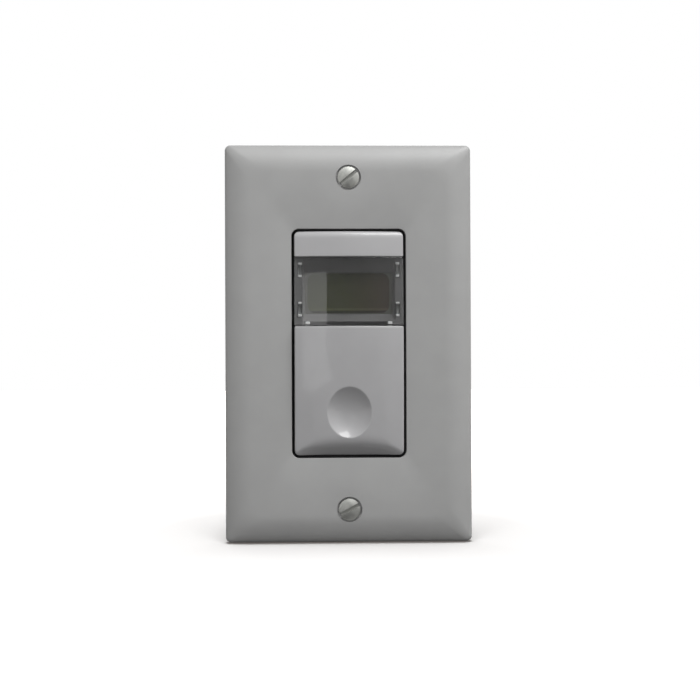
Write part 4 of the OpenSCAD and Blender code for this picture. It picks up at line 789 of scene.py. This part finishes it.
def circuit_board(name, colour):
    """Solder mask with the copper fields showing through."""
    material, tree, shader = new_material(name)
    coords = tree.nodes.new("ShaderNodeTexCoord")
    fields = tree.nodes.new("ShaderNodeTexBrick")
    fields.inputs["Scale"].default_value = FIELD_SCALE
    fields.inputs["Mortar Size"].default_value = FIELD_EDGE
    fields.inputs["Color1"].default_value = (*colour, 1.0)
    fields.inputs["Color2"].default_value = (*shaded(colour, FIELD_SHADE), 1.0)
    fields.inputs["Mortar"].default_value = (*shaded(colour, FIELD_EDGE_SHADE), 1.0)
    turn = tree.nodes.new("ShaderNodeMapping")
    turn.inputs["Rotation"].default_value = (math.radians(90), 0, 0)
    tree.links.new(coords.outputs["Object"], turn.inputs["Vector"])
    tree.links.new(turn.outputs["Vector"], fields.inputs["Vector"])
    tree.links.new(fields.outputs["Color"], shader.inputs["Base Color"])
    tree.links.new(spread(tree, grain(tree, MASK_SCALE), *MASK_ROUGH), shader.inputs["Roughness"])
    relief(tree, fields.outputs["Fac"], FIELD_RELIEF, shader)
    return material


def winding(name, colour):
    """Enamelled copper wire laid in turns."""
    material, tree, shader = new_material(name)
    coords = tree.nodes.new("ShaderNodeTexCoord")
    wires = tree.nodes.new("ShaderNodeTexWave")
    wires.wave_type, wires.bands_direction = "BANDS", "Y"
    wires.inputs["Scale"].default_value = WIRE_SCALE
    wires.inputs["Distortion"].default_value = WIRE_WANDER
    tree.links.new(coords.outputs["Object"], wires.inputs["Vector"])
    enamel = tones(tree, wires.outputs["Fac"], shaded(colour, WIRE_SHADE), colour, low=0.1, high=0.7)
    tree.links.new(enamel, shader.inputs["Base Color"])
    shader.inputs["Metallic"].default_value = 0.8
    shader.inputs["Roughness"].default_value = 0.35
    relief(tree, wires.outputs["Fac"], WIRE_RELIEF, shader)
    return material


def share_along(tree, axis, low, high):
    """0 to 1 between two places along an axis of the part's frame."""
    coords = tree.nodes.new("ShaderNodeTexCoord")
    split = tree.nodes.new("ShaderNodeSeparateXYZ")
    tree.links.new(coords.outputs["Object"], split.inputs["Vector"])
    along = tree.nodes.new("ShaderNodeMapRange")
    along.inputs["From Min"].default_value, along.inputs["From Max"].default_value = low, high
    tree.links.new(split.outputs[axis], along.inputs["Value"])
    return along.outputs["Result"]


def lcd_film(name):
    """Blank display film: dark olive, browner towards its right end; up its height a lighter bare margin near
    the bottom, between a painted shadow line at the bottom edge and painted shade that darkens it towards the
    top.
    """
    material, tree, shader = new_material(name)
    half_w, half_h = FILM_W / 2 * MM, FILM_H / 2 * MM
    hue = tones(tree, share_along(tree, "X", -half_w, half_w), FILM_OLIVE, FILM_BROWN, *FILM_TURN)
    # Painted shade up the film's height, with the lighter bare margin near its bottom
    margin_and_shade = tree.nodes.new("ShaderNodeValToRGB")
    for place, _ in FILM_MARGIN_AND_SHADE[1:-1]:
        margin_and_shade.color_ramp.elements.new(place)
    for stop, (place, level) in zip(margin_and_shade.color_ramp.elements, FILM_MARGIN_AND_SHADE):
        stop.position, stop.color = place, (level, level, level, 1.0)
    tree.links.new(share_along(tree, "Z", LCD_Y * MM - half_h, LCD_Y * MM + half_h), margin_and_shade.inputs["Fac"])
    shaded_film = tree.nodes.new("ShaderNodeMix")
    shaded_film.data_type, shaded_film.blend_type = "RGBA", "MULTIPLY"
    shaded_film.inputs["Factor"].default_value = 1.0
    tree.links.new(hue, shaded_film.inputs["A"])
    tree.links.new(margin_and_shade.outputs["Color"], shaded_film.inputs["B"])
    tree.links.new(shaded_film.outputs["Result"], shader.inputs["Base Color"])
    tree.links.new(spread(tree, grain(tree, FILM_GLOSS_SCALE), *FILM_ROUGH), shader.inputs["Roughness"])
    relief(tree, grain(tree, FILM_SKIN_SCALE), FILM_SKIN, shader)
    return material


def make_materials():
    """One material for each slot that the record names, and a pale ground finish for the window's tips, which
    is also their painted glint.
    """
    return {
        "grey_plate": plastic("grey_plate", (0.338, 0.338, 0.335), 0.42, cloud=0.02),
        "grey_face": plastic("grey_face", (0.365, 0.362, 0.368), 0.45, cloud=0.02, peel=0.5e-6, coat=0.45),
        "nickel_screw": plated("nickel_screw", (0.48, 0.485, 0.46), 0.46),
        "zinc_strap": plated("zinc_strap", (0.66, 0.68, 0.70), 0.38, stretch=(1, 1, 0.05)),
        "zinc_screw": plated("zinc_screw", (0.66, 0.67, 0.68), 0.3),
        "fibre": fibre_card("fibre", (0.52, 0.42, 0.28)),
        "green_screw": plated("green_screw", (0.10, 0.36, 0.14), 0.35),
        "black_moulding": plastic("black_moulding", (0.022, 0.022, 0.023), 0.45, cloud=0.15),
        "smoky_clear": smoky_moulding("smoky_clear", (0.45, 0.45, 0.455), 0.02, 1.49),
        # Pale ground finish of the window's clip tips, also a painted glint of the clear legs
        "ground_clear_glint": plastic("ground_clear_glint", (0.72, 0.73, 0.72), 0.3, cloud=0.1, peel=3.0e-6),
        "dark_frame": plastic("dark_frame", (0.28, 0.28, 0.272), 0.5),
        "lcd_film": lcd_film("lcd_film"),
        "lcd_glass": plastic("lcd_glass", (0.20, 0.205, 0.17), 0.1, peel=0.3e-6),
        "light_guide": plastic("light_guide", (0.78, 0.80, 0.76), 0.35),
        "zebra_rubber": plastic("zebra_rubber", (0.06, 0.06, 0.06), 0.7),
        "spring_steel": plated("spring_steel", (0.60, 0.60, 0.62), 0.25),
        "circuit_board": circuit_board("circuit_board", (0.03, 0.16, 0.06)),
        "switch_body": plastic("switch_body", (0.04, 0.04, 0.045), 0.4),
        "ivory_plastic": plastic("ivory_plastic", (0.74, 0.68, 0.54), 0.35),
        "option_red": plastic("option_red", (0.45, 0.03, 0.03), 0.35),
        "chip_black": plastic("chip_black", (0.02, 0.02, 0.022), 0.55, peel=4.0e-6),
        "pin_brass": plated("pin_brass", (0.78, 0.62, 0.32), 0.28),
        "terminal_brass": plated("terminal_brass", (0.76, 0.58, 0.28), 0.32),
        "relay_plastic": plastic("relay_plastic", (0.05, 0.07, 0.12), 0.35),
        "copper_winding": winding("copper_winding", (0.72, 0.30, 0.14)),
        "relay_iron": plated("relay_iron", (0.56, 0.56, 0.57), 0.4),
        "film_yellow": plastic("film_yellow", (0.62, 0.42, 0.06), 0.35),
        "electrolytic_blue": plastic("electrolytic_blue", (0.03, 0.06, 0.22), 0.3),
        "varistor_blue": plastic("varistor_blue", (0.04, 0.16, 0.42), 0.4),
    }


def dress_nodes():
    """Gives every carried-over solid the material of its slot."""
    for part in frame["record"]["subparts"]:
        obj = frame["nodes"][part["node"]]
        material = MATERIALS[part["material_slot"]]
        if not obj.material_slots:
            obj.data.materials.append(material)
        for holder in obj.material_slots:
            holder.material = material


# Studio

CAMERA_TURNS = {"Z": -0.23, "X": -0.68, "Y": -3.04}
CAMERA_SHIFT = Vector((-0.59, -1.89, 650.0)) * MM
CAMERA_LENS = 113.68
FRONT_VIEW = Matrix(((1, 0, 0), (0, 0, -1), (0, 1, 0)))
CAMERA_AXES = Matrix(((1, 0, 0), (0, -1, 0), (0, 0, -1)))
KEY = {"right": 42.0, "up": 54.0, "size": (0.75, 0.34), "power": 7.9}
FILL = {"right": 0.0, "up": 16.0, "size": (1.2, 1.2), "power": 4.1}
FLOOR_LAMP = {"right": -3.0, "up": 84.0, "size": (0.3, 0.62), "power": 10.8}
LAMP_DISTANCE = 0.9
AMBIENT = 0.22
FLAG_HALF, FLAG_Y, FLAG_REACH, FLAG_LEVELS = 1.4, -1.3, (0.3, 1.3), (0.12, 1.0)
LOW_FLAG_HALF, LOW_FLAG_AT = 0.2, (0.0, -0.212, 0.0006)
CARD_Y, CARD_LEFT, CARD_LEAST_W, CARD_GLOW = -0.9, -0.3, 0.001, 1.9
CARD_EDGE = ((-0.116, 0.174), (-0.116, 0.061), (-0.112, 0.013), (-0.02, -0.085))
FLOOR_HALF_W, FLOOR_HALF_H = 0.6, 0.4
FLOOR_TILT, FLOOR_GLOW, FLOOR_SHADE_REACH = 6.0, 0.12, (0.06, 0.175)
FLOOR_PAPER, FLOOR_BOUNCE, FLOOR_TINT = (0.70, 0.70, 0.70), 0.17, (1.0, 0.9, 0.83)


def add_camera():
    turn = Matrix.Identity(3)
    for axis in "ZXY":
        turn = turn @ Matrix.Rotation(math.radians(CAMERA_TURNS[axis]), 3, axis)
    view = turn @ FRONT_VIEW
    data = bpy.data.cameras.new("camera")
    data.lens, data.sensor_width = CAMERA_LENS, 36.0
    data.clip_start = 0.01
    camera = bpy.data.objects.new("camera", data)
    facing = view.transposed() @ CAMERA_AXES
    camera.matrix_world = Matrix.Translation(view.transposed() @ -CAMERA_SHIFT) @ facing.to_4x4()
    bpy.context.scene.collection.objects.link(camera)
    bpy.context.scene.camera = camera


def seen_rays(tree):
    """1 for rays that show the background itself, in the open, in gloss or through glass."""
    path = tree.nodes.new("ShaderNodeLightPath")
    seen = path.outputs["Is Camera Ray"]
    for ray in ("Is Glossy Ray", "Is Transmission Ray"):
        either = tree.nodes.new("ShaderNodeMath")
        either.operation = "MAXIMUM"
        tree.links.new(seen, either.inputs[0])
        tree.links.new(path.outputs[ray], either.inputs[1])
        seen = either.outputs["Value"]
    return seen


def add_world():
    world = bpy.data.worlds.new("studio")
    world.use_nodes = True
    tree = world.node_tree
    sky = tree.nodes["Background"]
    sky.inputs["Color"].default_value = (AMBIENT, AMBIENT, AMBIENT, 1.0)
    white = tree.nodes.new("ShaderNodeBackground")
    white.inputs["Color"].default_value = (1.0, 1.0, 1.0, 1.0)
    mix = tree.nodes.new("ShaderNodeMixShader")
    tree.links.new(seen_rays(tree), mix.inputs["Fac"])
    tree.links.new(sky.outputs["Background"], mix.inputs[1])
    tree.links.new(white.outputs["Background"], mix.inputs[2])
    tree.links.new(mix.outputs["Shader"], tree.nodes["World Output"].inputs["Surface"])
    bpy.context.scene.world = world


def stage_plane(name, half_w, half_h, material):
    bm = bmesh.new()
    bmesh.ops.create_grid(bm, x_segments=1, y_segments=1, size=1.0)
    bmesh.ops.scale(bm, verts=bm.verts, vec=(half_w, half_h, 1.0))
    return stage_mesh(name, bm, material)


def stage_mesh(name, bm, material):
    mesh = bpy.data.meshes.new(name)
    bm.to_mesh(mesh)
    bm.free()
    mesh.materials.append(material)
    obj = bpy.data.objects.new(name, mesh)
    bpy.context.scene.collection.objects.link(obj)
    return obj


def floor_place():
    return Matrix.Translation((0, 0, -PLATE_H / 2 * MM)) @ Matrix.Rotation(math.radians(FLOOR_TILT), 4, "X")


def by_reach(tree, reaches, levels):
    """A level that changes with the distance from the middle of a stage object."""
    coords = tree.nodes.new("ShaderNodeTexCoord")
    reach = tree.nodes.new("ShaderNodeVectorMath")
    reach.operation = "LENGTH"
    tree.links.new(coords.outputs["Object"], reach.inputs[0])
    change = tree.nodes.new("ShaderNodeMapRange")
    change.inputs["From Min"].default_value, change.inputs["From Max"].default_value = reaches
    change.inputs["To Min"].default_value, change.inputs["To Max"].default_value = levels
    tree.links.new(reach.outputs["Value"], change.inputs["Value"])
    return change.outputs["Result"]


def add_floor():
    """A white floor that keeps the object's shadow and throws little light back up."""
    material, tree, shader = new_material("studio_floor")
    seen = seen_rays(tree)
    tree.links.new(tones(tree, seen, shaded(FLOOR_PAPER, FLOOR_BOUNCE), FLOOR_PAPER, 0.0, 1.0),
                   shader.inputs["Base Color"])
    shader.inputs["Roughness"].default_value = 0.9
    shader.inputs["Specular IOR Level"].default_value = 0.0
    glow_seen = tree.nodes.new("ShaderNodeMath")
    glow_seen.operation = "MULTIPLY"
    tree.links.new(seen, glow_seen.inputs[0])
    tree.links.new(by_reach(tree, FLOOR_SHADE_REACH, (FLOOR_GLOW, 1.0)), glow_seen.inputs[1])
    shader.inputs["Emission Color"].default_value = (*FLOOR_TINT, 1.0)
    tree.links.new(glow_seen.outputs["Value"], shader.inputs["Emission Strength"])
    floor = stage_plane("floor", FLOOR_HALF_W, FLOOR_HALF_H, material)
    floor.matrix_world = floor_place()
    return floor


def glow(name, level):
    """A material that gives off white light and reflects none."""
    material, tree, shader = new_material(name)
    shader.inputs["Base Color"].default_value = (0.0, 0.0, 0.0, 1.0)
    shader.inputs["Specular IOR Level"].default_value = 0.0
    shader.inputs["Emission Color"].default_value = (1.0, 1.0, 1.0, 1.0)
    shader.inputs["Emission Strength"].default_value = level
    return material, tree, shader


def shaded_flag(name):
    """Dark in its middle and lighter outwards, so that no edge of it shows in the gloss."""
    material, tree, shader = glow(name, 1.0)
    tree.links.new(by_reach(tree, FLAG_REACH, FLAG_LEVELS), shader.inputs["Emission Strength"])
    return material


def only_in_gloss(card):
    card.visible_camera = card.visible_diffuse = card.visible_shadow = False


def white_card():
    """An upright card with a shaped right edge."""
    bm = bmesh.new()
    left = [bm.verts.new((min(CARD_LEFT, x - CARD_LEAST_W), CARD_Y, z)) for x, z in CARD_EDGE]
    edges = [bm.edges.new(pair) for pair in zip(left, left[1:])]
    made = bmesh.ops.extrude_edge_only(bm, edges=edges)["geom"]
    right = [g for g in made if isinstance(g, bmesh.types.BMVert)]
    for vert in right:
        vert.co.x = next(x for x, z in CARD_EDGE if abs(z - vert.co.z) < 1e-6)
    material, _, _ = glow("white_card", CARD_GLOW)
    return stage_mesh("white_card", bm, material)


def add_cards():
    """Two dark flags, behind the camera and low in front, and a white card, all only in reflections."""
    flag = stage_plane("dark_flag", FLAG_HALF, FLAG_HALF, shaded_flag("dark_flag"))
    flag.matrix_world = Matrix.Translation((0.0, FLAG_Y, 0.0)) @ Matrix.Rotation(math.radians(90), 4, "X")
    low_flag = stage_plane("low_flag", LOW_FLAG_HALF, LOW_FLAG_HALF, shaded_flag("low_flag"))
    low_flag.matrix_world = floor_place() @ Matrix.Translation(LOW_FLAG_AT)
    for card in (flag, low_flag, white_card()):
        only_in_gloss(card)


def add_lamp(name, lamp):
    right, up = math.radians(lamp["right"]), math.radians(lamp["up"])
    away = Vector((math.sin(right) * math.cos(up), -math.cos(right) * math.cos(up), math.sin(up)))
    data = bpy.data.lights.new(name, "AREA")
    data.shape, data.energy = "RECTANGLE", lamp["power"]
    data.size, data.size_y = lamp["size"]
    obj = bpy.data.objects.new(name, data)
    facing = away.to_track_quat("Z", "Y").to_matrix().to_4x4()
    obj.matrix_world = Matrix.Translation(away * LAMP_DISTANCE) @ facing
    bpy.context.scene.collection.objects.link(obj)
    return obj


def add_lights(floor):
    """A key and a broad fill on the object, and an overhead lamp for its shadow on the floor."""
    key, fill, overhead = add_lamp("key", KEY), add_lamp("fill", FILL), add_lamp("overhead", FLOOR_LAMP)
    fill.visible_glossy = False
    on_floor = bpy.data.collections.new("lit_by_overhead")
    on_floor.objects.link(floor)
    overhead.light_linking.receiver_collection = on_floor
    on_object = bpy.data.collections.new("not_lit_by_key")
    on_object.objects.link(floor)
    on_object.collection_objects[0].light_linking.link_state = "EXCLUDE"
    for lamp in (key, fill):
        lamp.light_linking.receiver_collection = on_object


MATERIALS = make_materials()
dress_nodes()
for make in (wall_plate, plate_screws, box_screws, header_cap, display_window, window_tips, lcd_frame,
             on_off_button, button_springs):
    make()
add_camera()
add_world()
add_cards()
add_lights(add_floor())
bpy.context.scene.view_settings.view_transform = "Standard"
